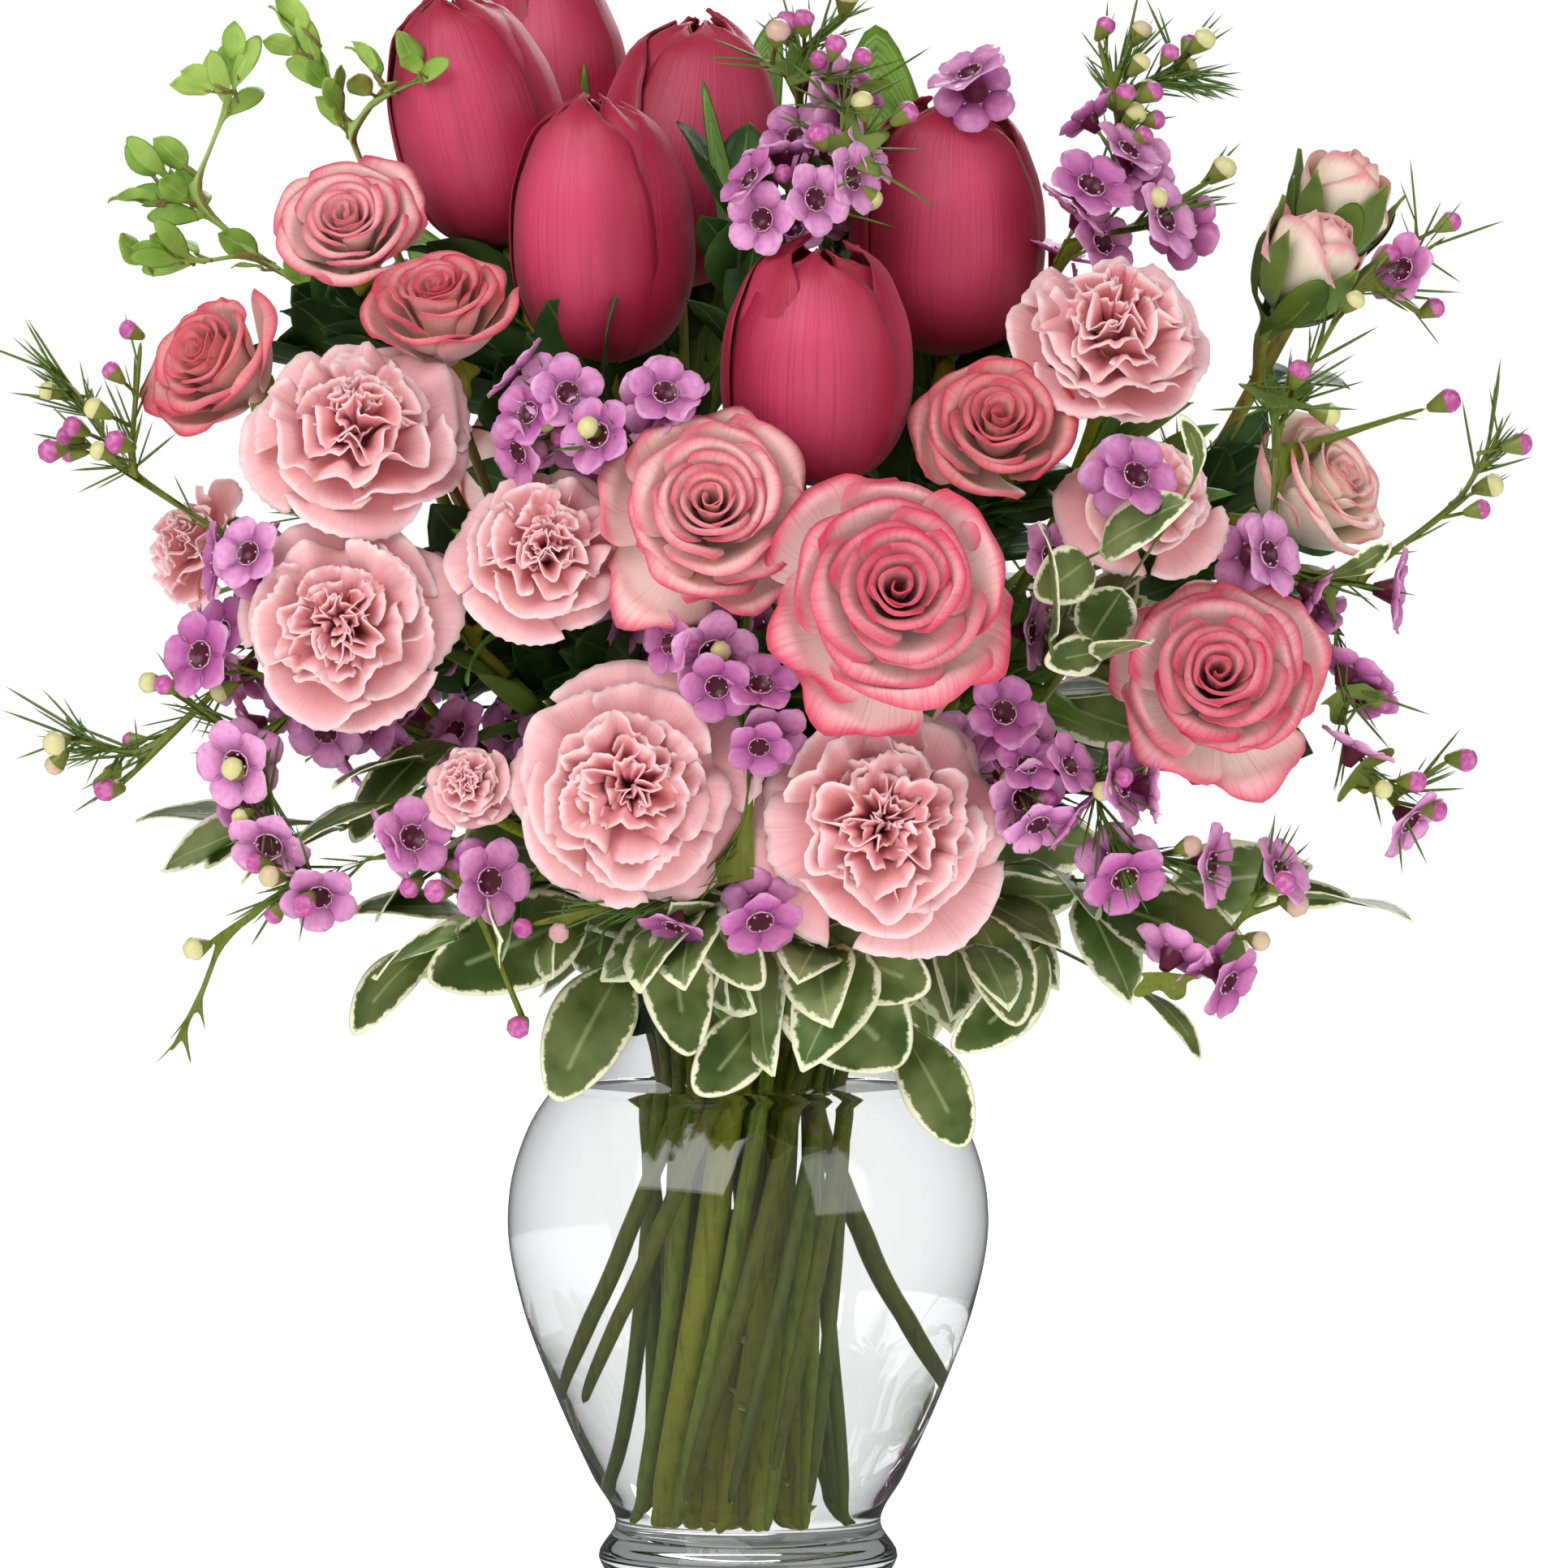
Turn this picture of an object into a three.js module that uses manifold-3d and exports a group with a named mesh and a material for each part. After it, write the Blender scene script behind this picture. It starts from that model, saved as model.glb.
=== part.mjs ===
// A mixed bouquet of tulips, spray roses, miniature carnations, waxflower and variegated leaves,
// standing in the water of a clear glass vase.
// Millimetres, +Z up. The origin is the centre of the underside of the vase's foot, and the front
// of the bouquet looks along -Y.
import * as THREE from "three";
import { mergeVertices } from "three/addons/utils/BufferGeometryUtils.js";
import Module from "manifold-3d";

const wasm = await Module();
wasm.setup();

// ---- Driving dimensions ----
const GAP = 0.3; // between pieces that touch
const VASE_SIDES = 20;
const GLASS = 2.8; // wall of the vase
const VASE_FLOOR = 6; // top of the thick glass foot
const WATER_LEVEL = 112;
const NECK_HEIGHT = 125; // where the stems pass the narrowest part of the vase
const SLOT_PITCH = 7.2; // between neighbouring stems in the neck
const TWIST = THREE.MathUtils.degToRad(-80); // turn of the bundle from the neck to the foot
const FOOT_SPREAD = 1.42; // width of the bundle at its foot over its width in the neck
const LEAN_HEIGHT = 40; // where the outermost stems rest against the glass
const PETAL = 0.9; // thickness of a petal at its middle
const LEAF = 1.0; // thickness of a leaf along its midrib
const TWIG = 0.8; // radius of the thinnest twigs
const ROOT_TAPER = 0.5; // radius of a twig at its root over its own radius
const SLIVER = 0.04; // edges shorter than this are closed up after a join
const HOLE_EXTRA = 0.45; // radius of a hole in the water over the radius of its stem
const STEM = { tulip: 3.0, rose: 2.1, carnation: 1.8, wax: 1.5, leafy: 1.8, twig: 1.1 };
const THICK_STEM = 2; // a stem of a larger radius has six sides, a thinner one five

// Outer outline of the vase, [radius, height], from the foot to the lip.
const VASE_OUTLINE = [
  [33, 0], [34.5, 3], [30.6, 11], [36, 22], [45, 42], [52.3, 62], [55.5, 82],
  [53.2, 96], [46.8, 109], [36, 120], [30.6, 128], [32.5, 136], [38, 142.5],
];
const LIP_TOP = 144.5;

const GREEN = { stem: 0x7d9138, leaf: 0x5e8a33, light: 0x8db04a, wax: 0x6f7f35, grey: 0x6f8a4c };
const COLOURS = {
  tulip: 0xc63a5e, rose: 0xe98f8d, cream: 0xf3d2b0, carnation: 0xf2b9bc, wax: 0xb86fb0,
};

// ---- Where the blooms stand: middle, the way each faces, size and turn ----
// The front view gives x and z. The depth y is where the search for a clear place starts.
const TULIPS = [
  { name: "back_left", at: [-47, 36, 344], face: [-0.05, 0.1, 1], height: 58, turn: 0.4 },
  { name: "left", at: [-62, -8, 334], face: [-0.24, -0.08, 1], height: 58, turn: 0.2 },
  { name: "middle", at: [-14, 6, 327], face: [0.08, 0.02, 1], height: 62, turn: 0.9 },
  { name: "right", at: [46, -20, 309], face: [0.02, -0.08, 1], height: 57, turn: 0.5, wide: 1.15 },
  { name: "front_left", at: [-33, -38, 309], face: [-0.03, -0.14, 1], height: 61, turn: 0 },
  { name: "front", at: [16, -62, 279], face: [0.02, -0.2, 1], height: 55, turn: 0.3, wide: 1.15 },
];
const ROSES = [
  { name: "back", at: [-48, 70, 250], face: [-0.4, 0.85, 0.4], radius: 21, spray: "back" },
  { name: "bud_behind", bud: true, at: [134, 2, 309], face: [0.35, -0.1, 0.9], radius: 13, spray: "right" },
  {
    name: "bud_right", bud: true, at: [125, -20, 296], face: [0.5, -0.35, 0.78], radius: 13.5,
    spray: "right",
  },
  { name: "top_left", at: [-90, -32, 307], face: [-0.15, -0.8, 0.55], radius: 17.5, spray: "left" },
  { name: "upper_left", at: [-69, -50, 288], face: [-0.12, -0.6, 0.8], radius: 17.5, spray: "left" },
  { name: "left", at: [-118, -36, 277], face: [-0.6, -0.65, 0.45], radius: 18, spray: "left" },
  { name: "upper_right", at: [56, -66, 262], face: [0.05, -0.85, 0.5], radius: 19, spray: "middle" },
  { name: "right_side", at: [126, -38, 248], face: [0.72, -0.45, 0.5], radius: 20, spray: "right" },
  { name: "middle_left", at: [-8, -92, 246], face: [0, -0.95, 0.3], radius: 22.5, spray: "middle" },
  { name: "middle", at: [33, -104, 228], face: [0.05, -0.97, 0.22], radius: 26, spray: "middle" },
  { name: "right", at: [105, -72, 208], face: [0.05, -0.95, 0.25], radius: 23, spray: "right" },
];
const CARNATIONS = [
  { name: "back", at: [34, 80, 215], face: [0.25, 0.93, 0.25], radius: 25, spray: "back" },
  { name: "upper_right", at: [82, -50, 284], face: [0.12, -0.7, 0.7], radius: 23.5, spray: "right" },
  { name: "far_left", at: [-125, -20, 237], face: [-0.9, -0.35, 0.2], radius: 14, spray: "far_left" },
  { name: "upper_left", at: [-88, -66, 263], face: [0, -0.8, 0.6], radius: 24, spray: "left" },
  { name: "right", at: [89, -72, 248], face: [0.08, -0.85, 0.45], radius: 16.5, spray: "right" },
  { name: "middle_left", at: [-45, -84, 237], face: [0, -0.85, 0.5], radius: 19.5, spray: "left" },
  { name: "left", at: [-90, -74, 221], face: [-0.2, -0.95, 0.15], radius: 23.5, spray: "far_left" },
  { name: "small", at: [-62, -82, 185], face: [-0.2, -0.85, 0.4], radius: 10, spray: "middle" },
  { name: "low_left", at: [-26, -90, 185], face: [-0.02, -1, 0.05], radius: 26, spray: "middle" },
  { name: "low_right", at: [30, -88, 176], face: [0.05, -0.97, 0.12], radius: 27, spray: "middle" },
];

// ---- Waxflower: what each spray carries, by its [x, z] in the front view ----
const WAX = [
  {
    name: "top", fork: [12, 8, 262],
    florets: [[12, 343], [23, 339], [23, 326], [5, 311]],
    buds: [[9, 353], [18, 315], [22, 359]],
  },
  {
    name: "upper_right", fork: [52, 6, 262],
    florets: [[76, 316], [84, 324], [91, 310], [52, 341]],
    buds: [[86, 333], [106, 321], [80, 353], [88, 352]],
    sprigs: [[97, 346]],
  },
  {
    name: "middle", fork: [-14, -20, 215],
    florets: [[-43, 272], [-19, 268], [-28, 258], [-9, 216], [4, 198], [2, 158]],
    buds: [[-44, 265], [-49, 154], [-41, 153]],
  },
  {
    name: "low_left", fork: [-46, -30, 186],
    florets: [[-120, 213], [-112, 190], [-106, 174], [-96, 162], [-76, 172], [-60, 164]],
    buds: [[-132, 207], [-122, 148], [-50, 132]],
    sprigs: [[-130, 124]],
  },
  {
    name: "far_left", fork: [-70, -12, 222],
    florets: [[-108, 234]],
    buds: [[-152, 261], [-140, 260], [-138, 285], [-142, 183]],
    sprigs: [[-154, 273], [-151, 194]],
  },
  {
    name: "low_right", fork: [46, -26, 180],
    florets: [[56, 200], [60, 184], [80, 185], [83, 167], [100, 167], [94, 145], [105, 142], [117, 163]],
    buds: [[121, 158], [113, 150]],
  },
  {
    name: "right", fork: [82, -8, 224],
    florets: [[79, 246], [113, 234], [142, 228], [134, 208], [136, 190], [147, 178], [119, 269]],
    buds: [[144, 302], [154, 290], [157, 269], [167, 250], [160, 189]],
    sprigs: [[153, 306], [170, 258]],
  },
  {
    name: "back", fork: [0, 46, 225], back: true,
    florets: [[-78, 215], [-20, 262], [64, 250], [78, 206]],
    buds: [[-92, 232], [90, 226]],
    sprigs: [[-104, 246], [104, 252]],
  },
];

// ---- Variegated pittosporum: leaves by root and tip, with width ----
const PITTOSPORUM = [
  {
    name: "left", fork: [-40, -34, 168],
    leaves: [
      { root: [-104, -40, 176], tip: [-125, -44, 162], width: 10 },
      { root: [-70, -48, 148], tip: [-91, -56, 124], width: 15 },
      { root: [-34, -52, 156], tip: [-76, -64, 139], width: 23 },
      { root: [-27, -46, 144], tip: [-45, -52, 109], width: 21 },
      { root: [-66, -52, 196], tip: [-91, -66, 167], width: 16 },
    ],
  },
  {
    name: "front", fork: [-6, -46, 156],
    leaves: [
      { root: [-17, -62, 157], tip: [-12, -70, 119], width: 19 },
      { root: [-12, -66, 162], tip: [6, -78, 136], width: 17 },
      { root: [4, -56, 134], tip: [-14, -60, 112], width: 18 },
      { root: [8, -60, 148], tip: [38, -64, 119], width: 30 },
      { root: [14, -66, 150], tip: [44, -74, 138], width: 20 },
    ],
  },
  {
    name: "right", fork: [44, -36, 160],
    leaves: [
      { root: [50, -58, 157], tip: [62, -66, 126], width: 19 },
      { root: [70, -50, 148], tip: [42, -60, 122], width: 19 },
      { root: [34, -50, 130], tip: [51, -48, 98], width: 18 },
      { root: [78, -36, 156], tip: [118, -44, 136], width: 25 },
      { root: [90, -34, 136], tip: [104, -38, 118], width: 8 },
      { root: [116, -32, 160], tip: [140, -36, 157], width: 8 },
      { root: [62, -30, 166], tip: [80, -52, 150], width: 18 },
    ],
  },
  {
    name: "upper_right", fork: [68, -30, 215],
    leaves: [
      { root: [78, -84, 237], tip: [62, -92, 226], width: 15 },
      { root: [80, -82, 215], tip: [64, -92, 212], width: 11 },
      { root: [96, -96, 256], tip: [96, -98, 268], width: 7 },
      { root: [134, -64, 232], tip: [146, -66, 240], width: 7 },
    ],
  },
  {
    name: "back", fork: [0, 40, 160],
    leaves: [
      { root: [-40, 48, 160], tip: [-62, 58, 128], width: 21 },
      { root: [-10, 56, 158], tip: [-22, 66, 122], width: 22 },
      { root: [22, 54, 160], tip: [18, 66, 124], width: 22 },
      { root: [44, 44, 158], tip: [66, 54, 130], width: 21 },
      { root: [-60, 40, 190], tip: [-92, 50, 176], width: 19 },
      { root: [66, 40, 190], tip: [98, 48, 178], width: 19 },
    ],
  },
];

// ---- Two light leafy twigs: the points that their branches reach ----
const LIGHT_TWIGS = [
  { name: "far_left", fork: [-98, 0, 296], tips: [[-134, -8, 322], [-118, -4, 342], [-130, -12, 302]] },
  { name: "left", fork: [-84, 6, 312], tips: [[-99, 4, 348], [-82, 6, 344], [-66, -20, 318]] },
];

// ---- Helpers: random numbers, frames, solids ----
const UP = new THREE.Vector3(0, 0, 1);
const UNIT = new THREE.Vector3(1, 1, 1);
const vec = (x, y, z) => new THREE.Vector3(x, y, z);
const mix = THREE.MathUtils.lerp;

/** A seeded source of numbers from 0 to 1. */
function seededRandom(seed) {
  let state = seed;
  return () => {
    state = (state + 0x6d2b79f5) | 0;
    let bits = Math.imul(state ^ (state >>> 15), 1 | state);
    bits = (bits + Math.imul(bits ^ (bits >>> 7), 61 | bits)) ^ bits;
    return ((bits ^ (bits >>> 14)) >>> 0) / 2 ** 32;
  };
}

/** The frame whose origin is at a point and whose +Z looks the given way. */
function frameAt(origin, facing, turn = 0) {
  const aim = new THREE.Quaternion().setFromUnitVectors(UP, facing.clone().normalize());
  const spin = new THREE.Quaternion().setFromAxisAngle(UP, turn);
  return new THREE.Matrix4().compose(origin, aim.multiply(spin), UNIT);
}

/** A closed geometry as a solid, turned outside out if its faces point in. */
function solidOf(geometry, matrix) {
  const bare = geometry.clone();
  bare.deleteAttribute("normal");
  bare.deleteAttribute("uv");
  if (matrix) bare.applyMatrix4(matrix);
  const merged = mergeVertices(bare, 1e-4);
  const places = merged.attributes.position;
  const corner = (i) => new THREE.Vector3().fromBufferAttribute(places, i);
  const triangles = [];
  let volume = 0;
  for (let i = 0; i < merged.index.count; i += 3) {
    const [a, b, c] = [0, 1, 2].map((k) => merged.index.getX(i + k));
    if (a === b || b === c || a === c) continue;
    triangles.push([a, b, c]);
    volume += corner(a).dot(corner(b).cross(corner(c)));
  }
  const order = volume < 0 ? triangles.map(([a, b, c]) => [a, c, b]) : triangles;
  const mesh = new wasm.Mesh({
    numProp: 3,
    vertProperties: new Float32Array(places.array),
    triVerts: new Uint32Array(order.flat()),
  });
  return new wasm.Manifold(mesh);
}

/** One body from several that cross: hollows sealed by the join and loose scraps are left out. */
function fuse(solids) {
  const bodies = wasm.Manifold.union(solids).simplify(SLIVER).decompose();
  return bodies.reduce((most, body) => (body.volume() > most.volume() ? body : most));
}

/** Triangles between two closed loops of points that lie in the same turning order. */
function stitch(faces, low, high, angleLow, angleHigh) {
  let [i, j] = [0, 0];
  while (i < low.length || j < high.length) {
    const [a, b] = [low[i % low.length], high[j % high.length]];
    const lowerNext = j >= high.length || (i < low.length && angleLow(i + 1) < angleHigh(j + 1));
    if (lowerNext) faces.push([a, low[++i % low.length], b]);
    else faces.push([a, high[++j % high.length], b]);
  }
}

/**
 * A slender limb along straight runs, with a ring of the given radius at each corner and a flat cut
 * at its root. It ends in a flat cut, in a point at a distance `reach`, or in a rim: a loop of
 * places in the frame at the end, which looks the way `facing` does, with `top` in its middle.
 */
function limb({ corners, radii, sides, reach = 0, rim, top, facing }) {
  const points = [];
  const faces = [];
  const ringAt = (k) => Array.from({ length: sides }, (_, i) => k * sides + i);
  const aim = new THREE.Quaternion();
  const ahead = UP.clone();
  const last = corners.length - 1;
  const runs = corners.slice(1).map((corner, k) => corner.clone().sub(corners[k]).normalize());
  corners.forEach((corner, k) => {
    const before = runs[k - 1] ?? runs[0] ?? facing;
    const after = runs[k] ?? facing ?? before;
    const tangent = before.clone().add(after).normalize();
    aim.premultiply(new THREE.Quaternion().setFromUnitVectors(ahead, tangent));
    ahead.copy(tangent);
    for (let i = 0; i < sides; i++) {
      const angle = (i / sides) * 2 * Math.PI;
      const radius = radii[k] * (k === 0 ? ROOT_TAPER : 1);
      const place = vec(radius * Math.cos(angle), radius * Math.sin(angle), 0);
      points.push(place.applyQuaternion(aim).add(corner));
    }
  });
  const [root, ring] = [ringAt(0), ringAt(last)];
  for (let i = 2; i < sides; i++) faces.push([root[0], root[i], root[i - 1]]);
  for (let k = 0; k < last; k++) {
    for (let i = 0; i < sides; i++) {
      const next = (i + 1) % sides;
      const [a, b, c, d] = [ringAt(k)[i], ringAt(k)[next], ringAt(k + 1)[next], ringAt(k + 1)[i]];
      faces.push([a, b, c], [a, c, d]);
    }
  }
  if (rim) {
    const place = (point) => point.clone().applyQuaternion(aim).add(corners[last]);
    const loop = rim.map((point) => points.push(place(point)) - 1);
    const turnOf = (point) => (Math.atan2(point.y, point.x) + 2 * Math.PI) % (2 * Math.PI);
    const rimAngle = (j) => turnOf(rim[j % rim.length]) + (j >= rim.length ? 2 * Math.PI : 0);
    stitch(faces, ring, loop, (i) => (i / sides) * 2 * Math.PI, rimAngle);
    const middle = points.push(place(top)) - 1;
    loop.forEach((a, j) => faces.push([a, loop[(j + 1) % loop.length], middle]));
  } else if (reach) {
    const tip = points.push(corners[last].clone().addScaledVector(ahead, reach)) - 1;
    ring.forEach((a, i) => faces.push([a, ring[(i + 1) % sides], tip]));
  } else {
    for (let i = 2; i < sides; i++) faces.push([ring[0], ring[i - 1], ring[i]]);
  }
  return solidOf(facesOf(points, faces));
}

/** Places spread evenly over the straight runs between a tube's corners, with their direction. */
function alongRuns(corners, perRun) {
  return corners.slice(1).flatMap((end, k) => {
    const run = end.clone().sub(corners[k]);
    const along = run.clone().normalize();
    return Array.from({ length: perRun }, (_, i) => {
      return { point: corners[k].clone().addScaledVector(run, (i + 0.7) / perRun), along };
    });
  });
}

/** A closed surface of revolution from an outline of [radius, height] that ends on the axis. */
function turned(outline, sides) {
  return new THREE.LatheGeometry(
    outline.map(([radius, height]) => new THREE.Vector2(radius, height)),
    sides,
  ).rotateX(Math.PI / 2);
}

/** A tube of the given radius along a path, with flat ends. */
function tube(path, radius, sides, steps) {
  const section = new THREE.Shape();
  for (let i = 0; i < sides; i++) {
    const angle = (i / sides) * 2 * Math.PI;
    const corner = [radius * Math.cos(angle), radius * Math.sin(angle)];
    if (i === 0) section.moveTo(...corner);
    else section.lineTo(...corner);
  }
  return new THREE.ExtrudeGeometry(section, { steps, extrudePath: path, curveSegments: 1 });
}

/** A closed mesh from its points and its triangles. */
function facesOf(points, faces) {
  const geometry = new THREE.BufferGeometry();
  const places = points.flatMap((point) => point.toArray());
  geometry.setAttribute("position", new THREE.Float32BufferAttribute(places, 3));
  geometry.setIndex(faces.flat());
  return geometry;
}

/** The same triangle on both faces of a thin piece, from pairs of [one face, other face]. */
function both(faces, a, b, c) {
  faces.push([a[0], b[0], c[0]], [a[1], c[1], b[1]]);
}

/** Fills a grid of such pairs alike on both faces. No triangle has all its corners on the rim. */
function weave(grid, faces, broadTip) {
  const across = grid[0].length - 1;
  for (let j = 0; j + 1 < grid.length; j++) {
    for (let i = 0; i < across; i++) {
      const [a, b] = [grid[j][i], grid[j][i + 1]];
      const [d, c] = [grid[j + 1][i], grid[j + 1][i + 1]];
      const towardTip = broadTip && j + 2 === grid.length;
      if (i < across / 2 !== towardTip) {
        both(faces, a, b, c);
        both(faces, a, c, d);
      } else {
        both(faces, a, b, d);
        both(faces, b, c, d);
      }
    }
  }
}

/**
 * A thin closed blade, pointed at both ends. at(u, v) is its middle surface, with u from -1 to 1
 * across and v from 0 at the root to 1 at the tip. Its two faces meet in a sharp rim.
 */
function blade(across, along, thickness, at) {
  const points = [];
  const faces = [];
  const put = (point) => points.push(point) - 1;
  const node = (i, j) => at((2 * i) / across - 1, j / along);
  const [root, tip] = [put(at(0, 0)), put(at(0, 1))];
  const grid = [];
  for (let j = 1; j < along; j++) {
    const row = [];
    for (let i = 0; i <= across; i++) {
      if (i === 0 || i === across) {
        const shared = put(node(i, j));
        row.push([shared, shared]);
        continue;
      }
      const side = node(i + 1, j).sub(node(i - 1, j));
      const length = at(0, (j + 1) / along).sub(at(0, (j - 1) / along));
      const lift = side.cross(length).normalize().multiplyScalar(thickness / 2);
      row.push([put(node(i, j).add(lift)), put(node(i, j).sub(lift))]);
    }
    grid.push(row);
  }
  weave(grid, faces, false);
  for (let i = 0; i < across; i++) {
    both(faces, [root, root], grid[0][i + 1], grid[0][i]);
    both(faces, grid.at(-1)[i], grid.at(-1)[i + 1], [tip, tip]);
  }
  return facesOf(points, faces);
}

// ---- Keeping pieces clear of each other ----
const placed = [];

/** Remembers a solid that later pieces keep clear of. */
function settle(solid) {
  placed.push({ solid, box: solid.boundingBox() });
  return solid;
}

function boxesMeet(one, other, gap) {
  return [0, 1, 2].every(
    (k) => one.min[k] - gap < other.max[k] && other.min[k] - gap < one.max[k],
  );
}

/** Whether a solid keeps the gap to everything settled so far. */
function isClear(solid, gap = GAP, among = placed) {
  const box = solid.boundingBox();
  return among.every(
    (other) => !boxesMeet(box, other.box, gap) || solid.minGap(other.solid, gap + 1) >= gap,
  );
}

// ---- Blooms, each in its own frame: seat at the origin, facing +Z ----
/** The point of an outline of [radius, height, half spread] at v from 0 to 1. */
function outlineAt(rows, v) {
  const place = Math.min(Math.max(v, 0), 1) * (rows.length - 1);
  const i = Math.min(Math.floor(place), rows.length - 2);
  return rows[i].map((value, k) => mix(value, rows[i + 1][k], place - i));
}

/**
 * A bloom in one closed body: rings of petals from the outermost in, on a shared heart. Each ring
 * is { count, turn, rows, across, tuck, round, ruffle, broad }. Its first row lies on the heart,
 * where neighbouring petals share a seam, and above that row every petal is free. The heart is a
 * flat seat at the base height, bands between the rings, and a crown point on the axis.
 */
function flower({ rings, scale, seat, base = 0, crown }) {
  const points = [];
  const faces = [];
  const put = (point) => points.push(point) - 1;
  const angleOf = (i) => Math.atan2(points[i].y, points[i].x);
  const SEAT_SIDES = 6;

  /** Triangles between a lower loop and an upper loop, both in order of their angle. */
  const band = (lower, upper) => {
    const sorted = (loop) => [...loop].sort((a, b) => angleOf(a) - angleOf(b));
    const [low, high] = [sorted(lower), sorted(upper)];
    const turnsOf = (loop) => (i) => {
      return angleOf(loop[i % loop.length]) + (i >= loop.length ? 2 * Math.PI : 0);
    };
    stitch(faces, low, high, turnsOf(low), turnsOf(high));
  };
  const fan = (loop, centre, upward) => {
    const order = [...loop].sort((a, b) => angleOf(a) - angleOf(b));
    order.forEach((a, i) => {
      const b = order[(i + 1) % order.length];
      faces.push(upward ? [a, b, centre] : [b, a, centre]);
    });
  };

  const seatLoop = Array.from({ length: SEAT_SIDES }, (_, i) => {
    const angle = (i / SEAT_SIDES) * 2 * Math.PI;
    return put(vec(seat * Math.cos(angle), seat * Math.sin(angle), base));
  });
  fan(seatLoop, put(vec(0, 0, base)), false);
  let below = seatLoop;

  for (const ring of rings) {
    const { count, turn, rows, across = 3, tuck = 0, round = 0, ruffle = 0, broad = true } = ring;
    const last = rows.length - 1;
    const outline = rows.map(([radius, height, spread = Math.PI / count]) => [radius, height, spread]);
    const middle = (k, i, j) => {
      const u = (2 * i) / across - 1;
      const v = (j / last) * (1 - (round * u * u * j) / last);
      const [radius, height, spread] = outlineAt(outline, v);
      const free = j === 0 ? 0 : 1;
      const angle = turn + (k / count) * 2 * Math.PI + u * (free ? spread : Math.PI / count);
      const reach = (radius + free * tuck * u) * scale;
      const wave = free * ruffle * (i % 2 === 0 ? 1 : -1) * (j / last);
      return vec(reach * Math.cos(angle), reach * Math.sin(angle), (height + wave) * scale);
    };
    const seams = Array.from({ length: count }, (_, k) => put(middle(k, across, 0)));
    const [outer, inner] = [[...seams], [...seams]];
    for (let k = 0; k < count; k++) {
      const grid = [];
      const lastRow = broad ? last : last - 1;
      for (let j = 0; j <= lastRow; j++) {
        const row = [];
        for (let i = 0; i <= across; i++) {
          const rim = i === 0 || i === across || (broad && j === last);
          if (rim) {
            const seam = seams[i === 0 ? (k + count - 1) % count : k];
            const shared = j === 0 ? seam : put(middle(k, i, j));
            row.push([shared, shared]);
            continue;
          }
          const side = middle(k, i + 1, j).sub(middle(k, i - 1, j));
          const length = middle(k, i, j + 1).sub(middle(k, i, Math.max(j - 1, 0)));
          const lift = side.cross(length).normalize().multiplyScalar(PETAL / 2);
          const pair = [put(middle(k, i, j).add(lift)), put(middle(k, i, j).sub(lift))];
          row.push(pair);
          if (j === 0) {
            outer.push(pair[0]);
            inner.push(pair[1]);
          }
        }
        grid.push(row);
      }
      weave(grid, faces, broad);
      if (!broad) {
        const tip = put(middle(k, across / 2, last));
        for (let i = 0; i < across; i++) both(faces, grid.at(-1)[i], grid.at(-1)[i + 1], [tip, tip]);
      }
    }
    band(below, outer);
    below = inner;
  }
  fan(below, put(vec(0, 0, crown * scale)), true);
  return solidOf(facesOf(points, faces));
}

const TULIP_ROWS = {
  outer: [[0.2, 0.1], [0.335, 0.42, 1.0], [0.285, 0.78, 0.88], [0.15, 1, 0]],
  inner: [[0.14, 0.12], [0.285, 0.42, 0.99], [0.225, 0.8, 0.86], [0.08, 0.97, 0]],
};

/** Three outer petals over three inner ones, closed like an egg. */
function tulipBloom({ height, turn, wide = 1 }) {
  const widened = (rows) => rows.map(([radius, ...rest]) => [radius * wide, ...rest]);
  return flower({
    rings: [
      { count: 3, turn, rows: widened(TULIP_ROWS.outer), broad: false },
      { count: 3, turn: turn + Math.PI / 3, rows: widened(TULIP_ROWS.inner), broad: false },
    ],
    scale: height,
    seat: STEM.tulip,
    crown: 0.3,
  });
}

const ROSE_ROWS = {
  heart: [[0.14, 0.6], [0.21, 1.28, 1.2]],
  inner: [[0.36, 0.46], [0.48, 1.2, 0.98]],
  outer: [[0.46, 0.24], [0.74, 0.72, 0.8], [0.84, 1.08, 0.76]],
  guard: [[0.5, 0.1], [0.96, 0.42, 0.78], [1.12, 0.84, 0.66]],
};
const BUD_ROWS = {
  inner: [[0.36, 0.7], [0.5, 1.35, 1.2], [0.4, 2.0, 1.2]],
  outer: [[0.4, 0.3], [0.8, 0.9, 1.25], [0.72, 1.75, 1.15]],
};
const ROSE_SEAT = 0.17; // radius of the flat seat over the radius of the rose
const CALYX_FOOT = 2.1; // radius of a calyx where it meets its branch
const LARGE_ROSE = 21; // a rose of a larger radius has a ring of guard petals

/** Rings of broad petals round a rolled heart. */
function roseBloom({ radius, bud }) {
  const wrap = { tuck: 0.05, round: 0.22 };
  const seat = ROSE_SEAT * radius;
  if (bud) {
    const rings = [
      { ...wrap, count: 3, turn: 0.2, rows: BUD_ROWS.outer },
      { ...wrap, count: 3, turn: 1.2, rows: BUD_ROWS.inner },
    ];
    return flower({ rings, scale: radius, seat, crown: 1.7 });
  }
  const rings = [
    { ...wrap, count: 5, turn: 0.4, rows: ROSE_ROWS.outer },
    { ...wrap, count: 4, turn: 1, rows: ROSE_ROWS.inner },
    { ...wrap, count: 3, turn: 0.3, rows: ROSE_ROWS.heart, across: 2 },
  ];
  if (radius > LARGE_ROSE) rings.unshift({ ...wrap, count: 5, turn: 1.1, rows: ROSE_ROWS.guard });
  return flower({ rings, scale: radius, seat, crown: 1.15 });
}

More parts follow.
